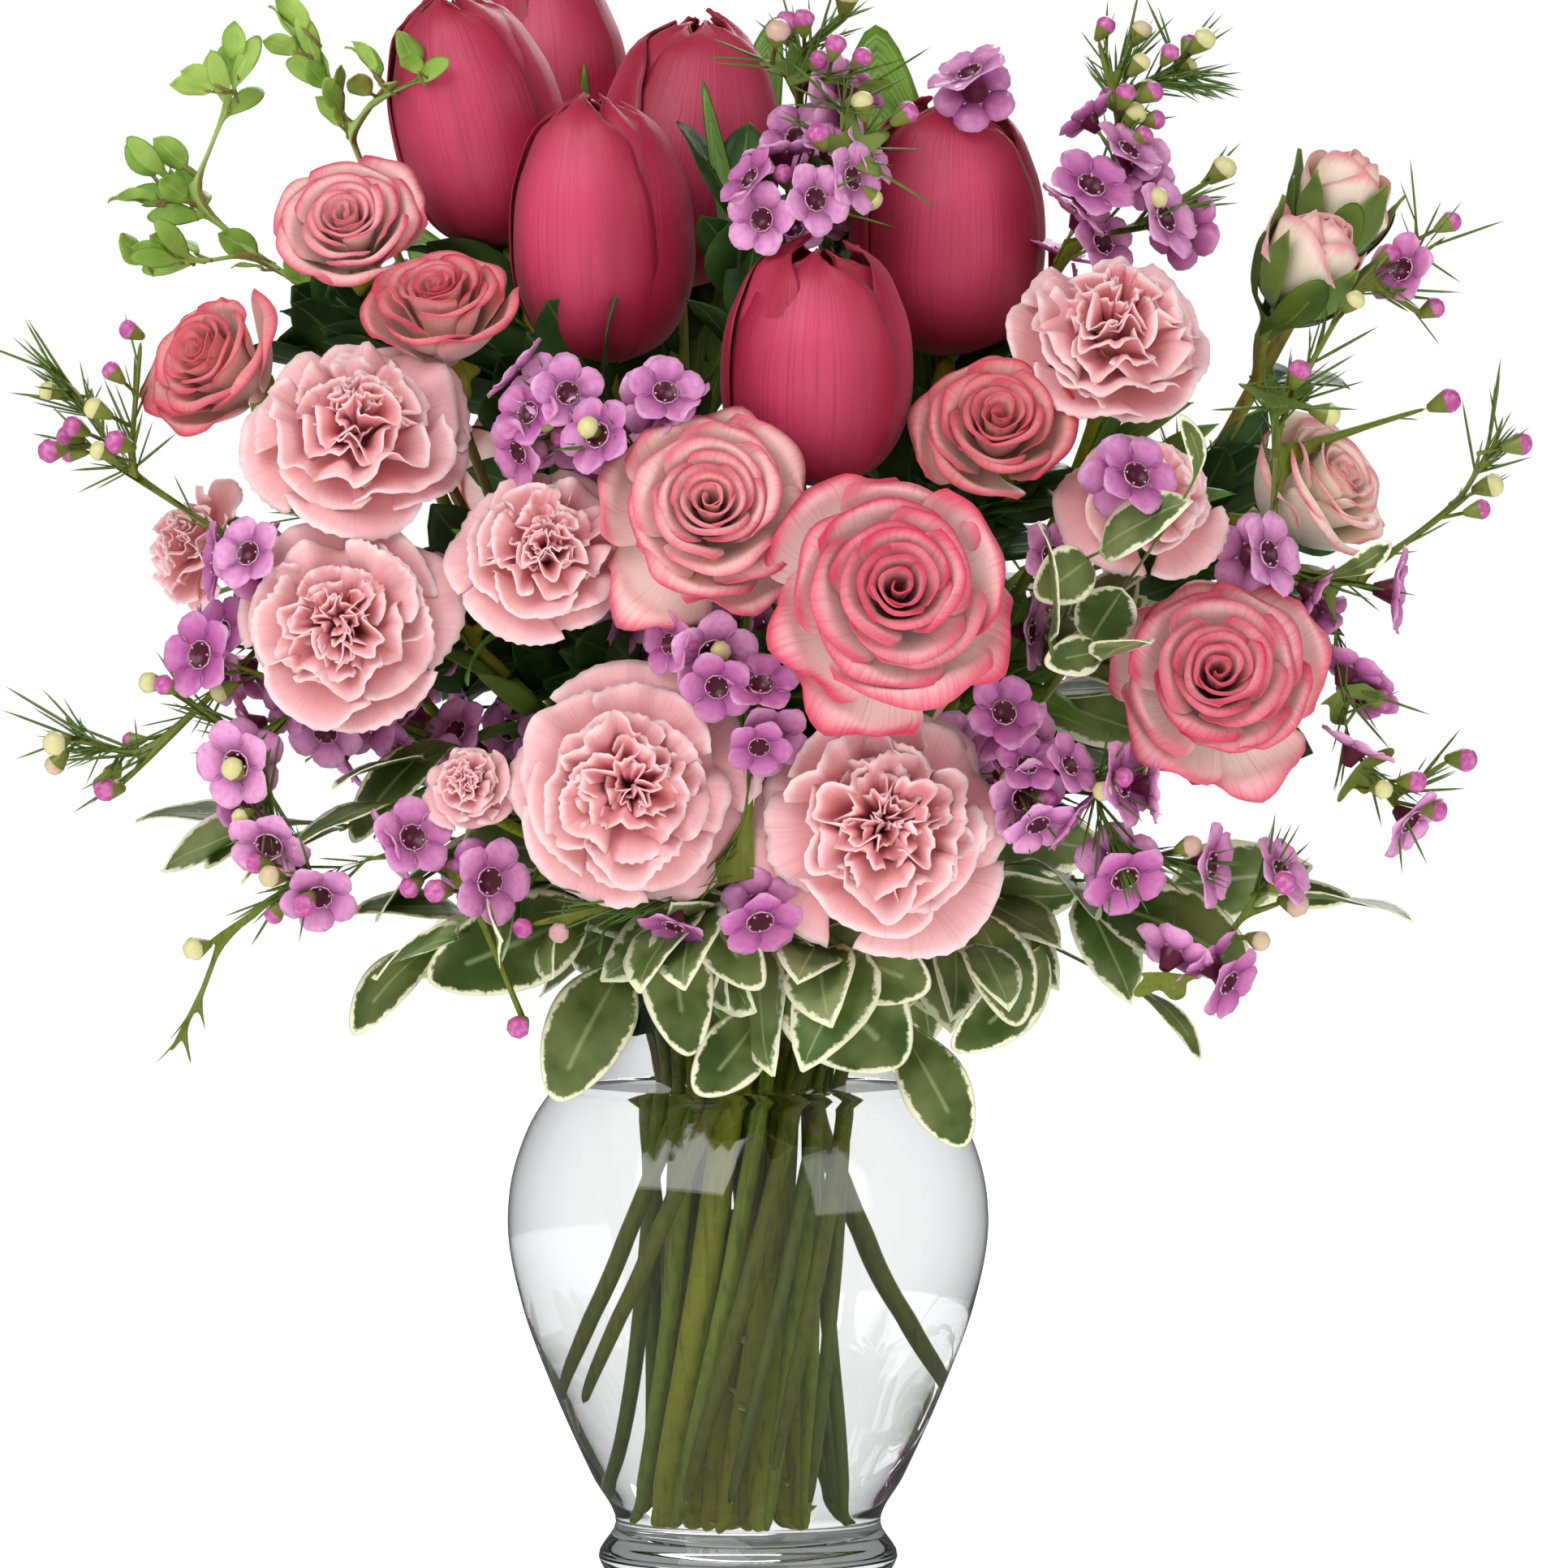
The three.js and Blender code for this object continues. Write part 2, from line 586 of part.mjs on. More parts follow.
const CARNATION_ROWS = {
  heart: [[0.16, 0.6], [0.34, 1.0, 0.9]],
  inner: [[0.3, 0.42], [0.72, 0.84, 0.74]],
  guard: [[0.34, 0.24], [1.0, 0.4, 0.6]],
};
const CARNATION_SEAT = 3.6; // radius of the calyx of a miniature carnation
const SMALL_CARNATION = 14; // a carnation of a smaller radius has two rings of petals

/** Ruffled fans in three rings. */
function carnationBloom({ radius }) {
  const frill = { across: 4, ruffle: 0.08, round: 0.06 };
  const rings = [
    { ...frill, count: 5, turn: 0.7, rows: CARNATION_ROWS.guard },
    { ...frill, count: 4, turn: 0.1, rows: CARNATION_ROWS.inner },
  ];
  if (radius > SMALL_CARNATION) rings.push({ ...frill, count: 3, turn: 0.5, rows: CARNATION_ROWS.heart });
  return flower({
    rings,
    scale: radius,
    seat: Math.min(CARNATION_SEAT, 0.26 * radius),
    crown: 0.8,
  });
}

const pieces = [];

/** Adds one named piece; its solid becomes a mesh at the end. */
function piece(name, solid, colour, finish = {}) {
  pieces.push({ name, solid, colour, finish });
  return solid;
}

const DEPTH_STEP = 1.5;

/** Sets a bloom at its place and brings it forward, or back on the far side, until it is clear. */
function setBloom(spec, shape, middleHeight) {
  const facing = vec(...spec.face).normalize();
  const seat = vec(...spec.at).addScaledVector(facing, -middleHeight);
  const outward = vec(0, seat.y > 30 && facing.y > 0 ? 1 : -1, 0);
  for (let step = 0; step < 40; step++) {
    const matrix = frameAt(seat, facing, spec.turn ?? 0);
    const solid = shape.transform(matrix.elements);
    if (isClear(solid, 0.6)) {
      settle(solid);
      return { ...spec, seat, facing, solid };
    }
    seat.addScaledVector(outward, DEPTH_STEP);
  }
  throw new Error(`no clear place for the bloom ${spec.name}`);
}

const tulips = TULIPS.map((spec) => setBloom(spec, tulipBloom(spec), 0.5 * spec.height));
const roses = ROSES.map((spec) => setBloom(spec, roseBloom(spec), 0.6 * spec.radius));
const carnations = CARNATIONS.map((spec) => setBloom(spec, carnationBloom(spec), 0.45 * spec.radius));
tulips.forEach((bloom) => piece(`tulip_${bloom.name}`, bloom.solid, COLOURS.tulip));
roses.forEach(({ name, solid, bud }) => piece(`rose_${name}`, solid, bud ? COLOURS.cream : COLOURS.rose));
carnations.forEach((bloom) => piece(`carnation_${bloom.name}`, bloom.solid, COLOURS.carnation));

// ---- The vase ----
/** The vase's outer radius at a height. */
function vaseRadius(height) {
  const above = VASE_OUTLINE.findIndex(([, z]) => z >= height);
  const [[r0, z0], [r1, z1]] = [VASE_OUTLINE[above - 1], VASE_OUTLINE[above]];
  return mix(r0, r1, (height - z0) / (z1 - z0));
}

const FLOOR_RADIUS = 24;
const INNER_HEIGHTS = [12, 42, 82, 98, 110, 120, 129, 142.5];
const innerWall = INNER_HEIGHTS.map((height) => [vaseRadius(height) - GLASS, height]);
const lip = [vaseRadius(142.5) - GLASS / 2, LIP_TOP];
const vaseFloor = [[FLOOR_RADIUS, VASE_FLOOR], [0, VASE_FLOOR]];
const vaseBody = [[0, 0], ...VASE_OUTLINE, lip, ...[...innerWall].reverse(), ...vaseFloor];
const vase = settle(solidOf(turned(vaseBody, VASE_SIDES)));

// ---- The bundle of stems in the vase ----
/** Places on a hexagonal lattice in the neck, nearest the axis first. */
function neckSlots(count) {
  const places = [];
  const reach = 5;
  for (let i = -reach; i <= reach; i++) {
    for (let j = -reach; j <= reach; j++) {
      places.push(vec((i + j / 2) * SLOT_PITCH, (j * SLOT_PITCH * Math.sqrt(3)) / 2, NECK_HEIGHT));
    }
  }
  return places.sort((a, b) => Math.hypot(a.x, a.y) - Math.hypot(b.x, b.y)).slice(0, count);
}

const SLOT_COUNT = 37;
const freeSlots = neckSlots(SLOT_COUNT);
const bundle = []; // the straight lower part of each stem set so far
const FOOT_REACH = 24.6; // from the vase's axis to the outside of a foot on the floor
const FOOT_ROOM = 1.6; // under the middle of a foot on the floor
const WALL_ROOM = 2; // beside a foot that leans on the glass
const WALL_ROWS = VASE_OUTLINE.slice(2, 7); // the part of the outline that widens above the foot
const SIDE_SHARE = 0.9; // a foot this far round to either side leans at LEAN_HEIGHT
const HOLE_WALL = 0.8; // least gap between two stems in the water
const DOME_TO_NECK = 0.14; // width of the bundle in the neck over that of the blooms

/** The height of the vase's wall above its foot where the outside is at a radius. */
function wallHeight(radius) {
  const below = WALL_ROWS.findLastIndex(([r]) => r <= radius);
  const [[r0, z0], [r1, z1]] = [WALL_ROWS[below], WALL_ROWS[below + 1]];
  return mix(z0, z1, (radius - r0) / (r1 - r0));
}

/** The foot of a stem: on the floor, or against the glass for an outer stem. */
function footOf(slot, radius, turn) {
  const foot = slot.clone().applyAxisAngle(UP, TWIST + turn).multiplyScalar(FOOT_SPREAD).setZ(0);
  const out = foot.length();
  if (out < FOOT_REACH - radius) return foot.setZ(VASE_FLOOR + FOOT_ROOM + 0.35 * radius);
  const beside = GLASS + radius + WALL_ROOM;
  const aside = Math.abs(foot.x) > SIDE_SHARE * out;
  const height = aside ? LEAN_HEIGHT : Math.min(wallHeight(out + beside), LEAN_HEIGHT);
  return foot.setLength(vaseRadius(height) - beside).setZ(height);
}

const sidesOf = (radius) => (radius > THICK_STEM ? 6 : 5);

/** A stem's straight part, in the free slot nearest the side its top is on. */
function plant(top, radius) {
  const wish = vec(top.x, top.y, 0).multiplyScalar(DOME_TO_NECK);
  const near = (slot) => Math.hypot(slot.x - wish.x, slot.y - wish.y);
  const order = [...freeSlots].sort((a, b) => near(a) - near(b));
  for (const slot of order) {
    for (const turn of [0, 0.06, -0.06, 0.12, -0.12]) {
      const foot = footOf(slot, radius, turn);
      const solid = solidOf(tube(new THREE.LineCurve3(foot, slot), radius, sidesOf(radius), 1));
      if (!isClear(solid, HOLE_WALL, bundle) || !isClear(solid)) continue;
      freeSlots.splice(freeSlots.indexOf(slot), 1);
      bundle.push({ solid, box: solid.boundingBox() });
      return { foot, neck: slot, rise: slot.clone().sub(foot).normalize() };
    }
  }
  throw new Error("no free slot in the neck");
}

/** A stem's middle line: straight from its foot to the neck in one step, then a curve. */
class StemPath extends THREE.Curve {
  constructor({ foot, neck }, curve, steps) {
    super();
    Object.assign(this, { foot, neck, curve, share: 1 / steps });
  }
  getPoint(t, target = new THREE.Vector3()) {
    if (t <= this.share) return target.lerpVectors(this.foot, this.neck, t / this.share);
    return this.curve.getPoint((t - this.share) / (1 - this.share), target);
  }
  getPointAt(t, target) {
    return this.getPoint(t, target);
  }
  getTangentAt(t, target) {
    return this.getTangent(t, target);
  }
}

const TRIES = 90;
const SEEK_GAP = 0.27;
const seek = seededRandom(11);

/** A curve between two ends with given directions, varied more and more until it passes. */
function route(from, leave, to, arrive, passes, tries = TRIES) {
  const span = from.distanceTo(to);
  for (let k = 0; k < tries; k++) {
    const stray = (span * 0.3 * k) / TRIES;
    const drift = () => vec(seek() - 0.5, seek() - 0.5, seek() - 0.5).multiplyScalar(2 * stray);
    const first = from.clone().addScaledVector(leave, span * (0.25 + 0.2 * seek())).add(drift());
    const second = to.clone().addScaledVector(arrive, -span * (0.2 + 0.2 * seek()));
    second.add(drift().addScaledVector(arrive, -drift().dot(arrive)));
    const found = passes(new THREE.CubicBezierCurve3(from, first, second, to));
    if (found) return found;
  }
  return null;
}

const holes = [];

/** Remembers where a stem passes the water. */
function drill(path, radius, steps) {
  const down = path.neck.clone().sub(path.foot).normalize();
  const deeper = { foot: path.foot.clone().addScaledVector(down, -0.5), neck: path.neck };
  const line = new StemPath(deeper, path.curve, steps);
  holes.push(solidOf(tube(line, radius + HOLE_EXTRA, sidesOf(radius), steps)));
}

/**
 * A stem from the vase's floor to its top, clear of everything settled. A top that only carries
 * branches may stray, further at each try.
 */
function mainStem(top, arrive, radius, steps, stray = 0) {
  const rooted = plant(top, radius);
  for (let k = 0; k < (stray ? TRIES : 1); k++) {
    const drift = vec(seek() - 0.5, seek() - 0.5, seek() - 0.5).multiplyScalar((stray * k) / TRIES);
    const end = top.clone().add(drift);
    const found = route(rooted.neck, rooted.rise, end, arrive, (curve) => {
      const path = new StemPath(rooted, curve, steps);
      const solid = solidOf(tube(path, radius, sidesOf(radius), steps));
      const corners = Array.from({ length: steps }, (_, i) => curve.getPoint(i / (steps - 1)));
      return isClear(solid, SEEK_GAP) ? { path, curve, solid, corners } : null;
    });
    if (!found) continue;
    drill(found.path, radius, steps);
    return found;
  }
  throw new Error(`no clear way for the stem to ${top.toArray()}`);
}

// ---- Leaves and small parts ----
/**
 * A leaf from its root to its tip: arched by sag, and as wide as shape(v) says. With a node given,
 * a narrow stalk leads from there to the root in the same blade.
 */
function leaf({ root, tip, up, width, sag = 0.12, across = 2, along = 4, shape, node }) {
  const run = tip.clone().sub(root);
  const length = run.length();
  const side = run.clone().cross(up).normalize();
  const lift = side.clone().cross(run).normalize();
  const at = (u, v) => {
    const wide = (width / 2) * shape(v);
    const arch = length * sag * 4 * v * (1 - v) + wide * 0.18 * u * u;
    const middle = root.clone().addScaledVector(run, v).addScaledVector(lift, arch);
    return middle.addScaledVector(side, wide * u);
  };
  if (!node) return solidOf(blade(across, along, LEAF, at));
  const share = 1 / (along + 2);
  const out = root.clone().sub(node).setLength(STALK_ROOT);
  const stalked = (u, v) => {
    const row = Math.round(v / share);
    if (row === 0) return node.clone();
    if (row > 2) return at(u, (row - 2) / along);
    return (row === 1 ? node.clone().add(out) : root.clone()).addScaledVector(side, TWIG * u);
  };
  return solidOf(blade(across, along + 2, LEAF, stalked));
}

const STALK_ROOT = 3; // where a leaf's stalk has its full width
const scalloped = (v) => Math.sin(Math.PI * v ** 0.75) ** 0.6;
const oval = (v) => Math.sin(Math.PI * v ** 0.8) ** 0.75;
const lance = (v) => Math.sin(Math.PI * v ** 0.6) ** 1.1;
const strap = (v) => Math.min(1, 3 * v + 0.35) * (1 - v ** 4);

/** The rim of a star: lobes that are rounded, or pointed, with notches between them. */
function starRim({ lobes, reach, notch, rise, dip = 0, pointed = false }) {
  const lobe = (pointed ? [0.5] : [0.3, 0.7]).map((share) => [share, reach, rise]);
  const places = [[0, notch * reach, dip], ...lobe];
  return Array.from({ length: lobes }, (_, k) => places.map(([share, out, height]) => {
    const angle = ((k + share) / lobes) * 2 * Math.PI;
    return vec(out * Math.cos(angle), out * Math.sin(angle), height);
  })).flat();
}

// ---- Tulip stems and leaves ----
// Each leaf stands on the tulip stem named, from its root to its tip.
const TULIP_LEAVES = [
  { on: "middle", root: [-18, 22, 250], tip: [-12, 28, 362], width: 17 },
  { on: "right", root: [20, 18, 235], tip: [29, 14, 366], width: 36 },
  { on: "middle", root: [-4, 24, 262], tip: [6, 34, 366], width: 19 },
  { on: "front", root: [0, -28, 232], tip: [-12, -30, 352], width: 8 },
  { on: "front", root: [6, -34, 240], tip: [-3, -46, 300], width: 8 },
  { on: "back_left", root: [-36, 40, 262], tip: [-38, 16, 354], width: 6 },
  { on: "back_left", root: [-40, 48, 230], tip: [-84, 66, 316], width: 22 },
];

for (const bloom of tulips) {
  const top = bloom.seat.clone().addScaledVector(bloom.facing, -GAP);
  const { curve, solid } = mainStem(top, bloom.facing, STEM.tulip, 6);
  settle(solid);
  bloom.stem = { curve, parts: [solid] };
}

/** Puts a part on a stem if it is clear of every other piece. */
function attach(owner, solid, others = placed) {
  const rest = others.filter(({ solid: other }) => !owner.parts.includes(other));
  if (!isClear(solid, SEEK_GAP, rest)) return false;
  owner.parts.push(settle(solid));
  return true;
}

for (const spec of TULIP_LEAVES) {
  const { stem } = tulips.find(({ name }) => name === spec.on);
  const goal = vec(...spec.root);
  const far = (point) => point.distanceTo(goal);
  const [root] = stem.curve.getPoints(24).sort((a, b) => far(a) - far(b));
  for (let k = 0; k < TRIES; k++) {
    const stray = k * 0.35;
    const tip = vec(...spec.tip).add(vec((seek() - 0.5) * stray, (seek() - 0.5) * 3 * stray, 0));
    const up = vec((seek() - 0.5) * k * 0.03, 1, 0);
    const sag = 0.14 * (seek() - 0.5) * (k / 20);
    const solid = leaf({ root, tip, up, width: spec.width, sag, along: 5, shape: strap });
    if (attach(stem, solid)) break;
    if (k === TRIES - 1) throw new Error(`no room for a leaf on the tulip ${spec.on}`);
  }
}
tulips.forEach(({ name, stem }) => piece(`tulip_stem_${name}`, fuse(stem.parts), GREEN.stem));

// ---- Spray roses and carnations on their branched stems ----
/** The green cup of a rosebud, with sepals held close round it. */
function budCalyx({ radius }) {
  const rows = [
    [ROSE_SEAT * radius * 1.1, -1.4],
    [0.68 * radius, 0.2 * radius, 0.5],
    [1.02 * radius, 0.95 * radius, 0.4],
    [radius, 1.5 * radius, 0],
  ];
  const rings = [{ count: 4, turn: 0.2, across: 2, rows, broad: false }];
  return flower({ scale: 1, seat: CALYX_FOOT, base: -7, crown: -GAP, rings });
}

/** How a branch ends under an open rose: in a cup whose sepals spread and bend down. */
function roseEnd({ radius }) {
  const rim = starRim({ lobes: 5, reach: 0.66 * radius, notch: 0.34, rise: 0.5, dip: 4, pointed: true });
  return { heights: [], radii: [], from: -6, rim, top: vec(0, 0, 6 - GAP) };
}

/** How a branch ends under a carnation: in a long green tube. */
function carnationEnd({ radius }) {
  const seat = Math.min(CARNATION_SEAT, 0.26 * radius);
  return { heights: [-9, -GAP], radii: [seat, seat], from: -13 };
}

const BRANCH_STEPS = 3;
const FORK_STRAY = 90; // how far a fork may move from the middle of its way

/** A stem that forks to several blooms, each on a branch that ends under the bloom's seat. */
function branchedStem(kind, name, blooms, endOf, leaves) {
  const radius = STEM[kind];
  const middle = vec(0, 0, 0);
  blooms.forEach(({ seat }) => middle.addScaledVector(seat, 1 / blooms.length));
  const fork = vec(middle.x * 0.55, middle.y * 0.4, mix(NECK_HEIGHT, middle.z, 0.55));
  const main = mainStem(fork, middle.clone().sub(fork).normalize(), radius, 4, FORK_STRAY);
  const owner = { parts: [settle(main.solid)] };
  const nodes = alongRuns(main.corners, 3).slice(3);
  for (const bloom of blooms) {
    const below = (height) => bloom.seat.clone().addScaledVector(bloom.facing, height);
    const close = bloom.bud ? { heights: [], radii: [], from: -6 } : endOf(bloom);
    if (bloom.bud) {
      const calyx = budCalyx(bloom).transform(frameAt(bloom.seat, bloom.facing).elements);
      owner.parts.push(settle(calyx));
    }
    const end = below(close.from);
    const far = ({ point }) => point.distanceTo(end);
    const order = [...nodes].sort((a, b) => far(a) - far(b)).slice(0, 8);
    let grown = null;
    for (const { point, along } of order) {
      const leave = end.clone().sub(point).normalize().add(along).normalize();
      grown = route(point, leave, end, bloom.facing, (curve) => {
        const runs = curve.getSpacedPoints(BRANCH_STEPS);
        const solid = limb({
          ...close,
          corners: [...runs, ...close.heights.map(below)],
          radii: [...runs.map(() => radius * 0.8), ...close.radii],
          sides: 4,
          facing: bloom.facing,
        });
        return attach(owner, solid) ? runs : null;
      });
      if (grown) break;
    }
    if (!grown) throw new Error(`no clear branch to the bloom ${bloom.name}`);
    nodes.push(...alongRuns(grown, 2).slice(1, -1));
  }
  let grown = 0;
  for (let k = 0; k < TRIES && grown < leaves.count; k++) {
    const root = nodes[Math.floor(seek() * nodes.length)].point;
    const out = vec(root.x * 1.2, root.y * 1.2 - 10, 0).normalize();
    out.add(vec(seek() - 0.5, seek() - 0.5, seek() - 0.4)).normalize();
    const tip = root.clone().addScaledVector(out, leaves.length * (0.85 + 0.3 * seek()));
    const solid = leaf({ root, tip, up: UP, width: leaves.width, along: 3, shape: leaves.shape });
    if (attach(owner, solid)) grown++;
  }
  piece(name, fuse(owner.parts), GREEN.leaf);
}

const ROSE_LEAVES = { count: 2, length: 30, width: 17, shape: oval };
const CARNATION_LEAVES = { count: 1, length: 34, width: 5, shape: lance };
for (const spray of ["left", "middle", "right", "back"]) {
  const blooms = roses.filter((bloom) => bloom.spray === spray);
  branchedStem("rose", `rose_stem_${spray}`, blooms, roseEnd, ROSE_LEAVES);
}
for (const spray of ["far_left", "left", "middle", "right", "back"]) {
  const blooms = carnations.filter((bloom) => bloom.spray === spray);
  branchedStem("carnation", `carnation_stem_${spray}`, blooms, carnationEnd, CARNATION_LEAVES);
}

// ---- Waxflower, pittosporum and the light twigs ----
const DOME = { middle: 195, wide: 175, deep: 112, tall: 172 }; // the rounded outline of the bouquet
const OUTWARD_STEP = 3;
const OUTWARD_MOVES = 14;
const NEAR_NODES = 6;

/** A place on the dome of blooms, seen at x and z. */
function onDome(x, z, back) {
  const share = 1 - (x / DOME.wide) ** 2 - ((z - DOME.middle) / DOME.tall) ** 2;
  const depth = DOME.deep * Math.sqrt(Math.max(share, 0.04)) * 0.8;
  return vec(x, back ? depth : -depth, z);
}

/** The way out of the bouquet at a point. */
function outFrom(point) {
  return vec(point.x, point.y * 1.6, (point.z - DOME.middle) * 0.8).normalize();
}

/**
 * Grows a twig from the nearest part of a stem to a target, where it ends as `close` says: straight
 * if that is clear, else curved. The target moves outward until the whole twig is clear. Returns
 * the places along the twig.
 */
function growTo(owner, target, facing, close) {
  const rest = placed.filter(({ solid }) => !owner.parts.includes(solid));
  for (let move = 0; move < OUTWARD_MOVES; move++) {
    const end = target.clone().addScaledVector(facing, move * OUTWARD_STEP);
    const cost = ({ point }) => point.distanceTo(end) + Math.max(0, point.z - end.z + 12);
    const near = [...owner.nodes].sort((a, b) => cost(a) - cost(b)).slice(0, NEAR_NODES);
    for (const { runs, node } of close.runs.flatMap((runs) => near.map((node) => ({ runs, node })))) {
      const { point, along } = node;
      const leave = end.clone().sub(point).normalize().add(along).normalize();
      const passes = (curve) => {
        const corners = curve.getSpacedPoints(runs);
        const beyond = close.heights.map((height) => end.clone().addScaledVector(facing, height));
        const radii = [...corners.map(() => TWIG), ...close.radii];
        const twig = limb({ ...close, corners: [...corners, ...beyond], radii, facing });
        return isClear(twig, SEEK_GAP, rest) ? { corners, twig } : null;
      };
      const found = route(point, leave, end, facing, passes, runs === 1 ? 1 : TRIES);
      if (!found) continue;
      owner.parts.push(settle(found.twig));
      const ribs = alongRuns(found.corners, Math.round(8 / runs));
      owner.nodes.push(...ribs.slice(2, -1));
      return ribs;
    }
  }
  throw new Error(`no place for a twig to ${target.toArray()}`);
}

/** The main stem of a spray, with the nodes that branches leave from. */
function sprayStem(fork, radius) {
  const top = vec(...fork);
  const main = mainStem(top, outFrom(top).add(UP).normalize(), radius, 4, FORK_STRAY);
  const nodes = alongRuns(main.corners, 3).slice(3);
  return { parts: [settle(main.solid)], nodes };
}

const FLORET = {
  sides: 3,
  runs: [1, 2],
  heights: [],
  radii: [],
  rim: starRim({ lobes: 5, reach: 10, notch: 0.42, rise: 4.6, dip: 3.2 }),
  top: vec(0, 0, 2.4),
};
const BUD = { sides: 4, runs: [1, 2], heights: [2.6], radii: [2.8], reach: 2.4 };
const SPRIG = { sides: 3, runs: [2], heights: [], radii: [], reach: 2 };
const NEEDLE = { length: 15, radius: 0.85 };

/** Needles in a loose whorl along the last part of a twig. */
function addNeedles(owner, ribs, count) {
  for (const { point, along } of ribs.slice(-count)) {
    const side = vec(seek() - 0.5, seek() - 0.5, seek() - 0.5).cross(along).normalize();
    const aim = along.clone().multiplyScalar(1.3).add(side).normalize();
    const { radius, length } = NEEDLE;
    attach(owner, limb({ corners: [point], radii: [radius], sides: 3, reach: length, facing: aim }));
  }
}

for (const { name, fork, florets, buds, sprigs = [], back = false } of WAX) {
  const owner = sprayStem(fork, STEM.wax);
  for (const [x, z] of florets) {
    const target = onDome(x, z, back);
    const facing = outFrom(target).add(vec(seek() - 0.5, (back ? 0.7 : -0.7), seek() - 0.3)).normalize();
    growTo(owner, target, facing, FLORET);
  }
  for (const [x, z] of buds) {
    const target = onDome(x, z, back);
    growTo(owner, target, outFrom(target), BUD);
  }
  for (const [x, z] of sprigs) {
    const target = onDome(x, z, back);
    addNeedles(owner, growTo(owner, target, outFrom(target), SPRIG), 4);
  }
  piece(`waxflower_${name}`, fuse(owner.parts), COLOURS.wax);
}

/** Grows a stalked leaf from a stem to its place, strayed more and more until it is clear. */
function growLeaf(owner, root, tip, width) {
  const far = ({ point }) => point.distanceTo(root);
  const nodes = [...owner.nodes].sort((a, b) => far(a) - far(b)).slice(0, NEAR_NODES);
  for (let k = 0; k < LEAF_TRIES; k++) {
    const drift = () => vec(seek() - 0.5, (seek() - 0.5) * 3, seek() - 0.5).multiplyScalar(k * 0.1);
    const away = outFrom(root).multiplyScalar(k * 0.05);
    const start = root.clone().add(drift()).add(away);
    const end = tip.clone().add(drift()).add(away);
    const up = outFrom(start).add(vec(0, 0, 0.4 * seek()));
    for (const { point: node } of nodes) {
      const along = width > NARROW_LEAF ? 4 : 3;
      const solid = leaf({ root: start, tip: end, up, width, along, shape: scalloped, node });
      if (attach(owner, solid)) return;
    }
  }
  throw new Error(`no place for a leaf of width ${width}`);
}

const LEAF_TRIES = 160;
const NARROW_LEAF = 19.5; // a leaf of a smaller width has fewer rows
for (const { name, fork, leaves } of PITTOSPORUM) {
  const owner = sprayStem(fork, STEM.leafy);
  for (const { root, tip, width } of leaves) {
    growLeaf(owner, vec(...root), vec(...tip), width);
  }
  piece(`pittosporum_${name}`, fuse(owner.parts), GREEN.grey);
}

const LIGHT_LEAF = { length: 17, width: 7.5, along: 2, shape: () => 1 };
for (const { name, fork, tips } of LIGHT_TWIGS) {
  const owner = sprayStem(fork, STEM.twig);
  for (const tip of tips) {
    const target = vec(...tip);
    const facing = outFrom(target).add(vec(0, 0, 0.8)).normalize();
    const ribs = growTo(owner, target, facing, SPRIG);
    for (const [k, { point, along }] of ribs.slice(-3).entries()) {
      const side = vec(seek() - 0.5, seek() - 0.5, seek() - 0.5).cross(along).normalize();
      const aim = along.clone().add(side.multiplyScalar(k === 2 ? 0.1 : 1)).normalize();
      const end = point.clone().addScaledVector(aim, LIGHT_LEAF.length);
      attach(owner, leaf({ ...LIGHT_LEAF, root: point, tip: end, up: vec(0, -1, 0.3) }));
    }
  }
  piece(`light_twig_${name}`, fuse(owner.parts), GREEN.light);
}

// ---- Water ----
const waterHeights = [12, 42, 82, 98, 110, WATER_LEVEL];
const waterLine = waterHeights.map((height) => [vaseRadius(height) - GLASS - 1.1 * GAP, height]);
const waterFloor = [[0, VASE_FLOOR + GAP], [FLOOR_RADIUS - GAP, VASE_FLOOR + GAP]];
const waterBody = [...waterFloor, ...waterLine, [0, WATER_LEVEL]];
const water = fuse([solidOf(turned(waterBody, VASE_SIDES)).subtract(wasm.Manifold.union(holes))]);

piece("vase", vase, 0xe8eef0, { transparent: true, opacity: 0.35, roughness: 0.05 });
piece("water", water, 0xdde6e6, { transparent: true, opacity: 0.3, roughness: 0.02 });

// ---- Export ----
/** A solid as a mesh of its own. */
function meshOf({ name, solid, colour, finish }) {
  const { vertProperties, triVerts } = solid.getMesh();
  const geometry = new THREE.BufferGeometry();
  geometry.setAttribute("position", new THREE.Float32BufferAttribute(vertProperties, 3));
  geometry.setIndex(Array.from(triVerts));
  const material = new THREE.MeshStandardMaterial({ color: colour, roughness: 0.6, ...finish });
  const mesh = new THREE.Mesh(geometry, material);
  mesh.name = name;
  return mesh;
}

const bouquet = new THREE.Group();
bouquet.add(...pieces.map(meshOf));

export default bouquet;
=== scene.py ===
"""A mixed bouquet with tulips in a clear glass vase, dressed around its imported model."""
import math
import random

import bmesh
import bpy
import numpy as np
from mathutils import Matrix, Vector


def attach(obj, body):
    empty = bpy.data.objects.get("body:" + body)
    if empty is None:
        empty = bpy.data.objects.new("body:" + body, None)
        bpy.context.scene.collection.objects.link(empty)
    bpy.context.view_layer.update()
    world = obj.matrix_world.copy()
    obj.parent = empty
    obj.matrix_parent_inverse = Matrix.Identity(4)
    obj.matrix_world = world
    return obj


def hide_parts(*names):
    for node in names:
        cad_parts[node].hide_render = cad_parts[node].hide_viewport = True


bl_info = {
    "name": "Mixed bouquet in a vase",
    "version": (1, 0, 0),
    "blender": (4, 5, 0),
    "location": "3D View > Sidebar > Bouquet",
    "description": "Dresses a bouquet of tulips, roses, carnations and waxflower in a glass vase",
    "category": "Object",
}

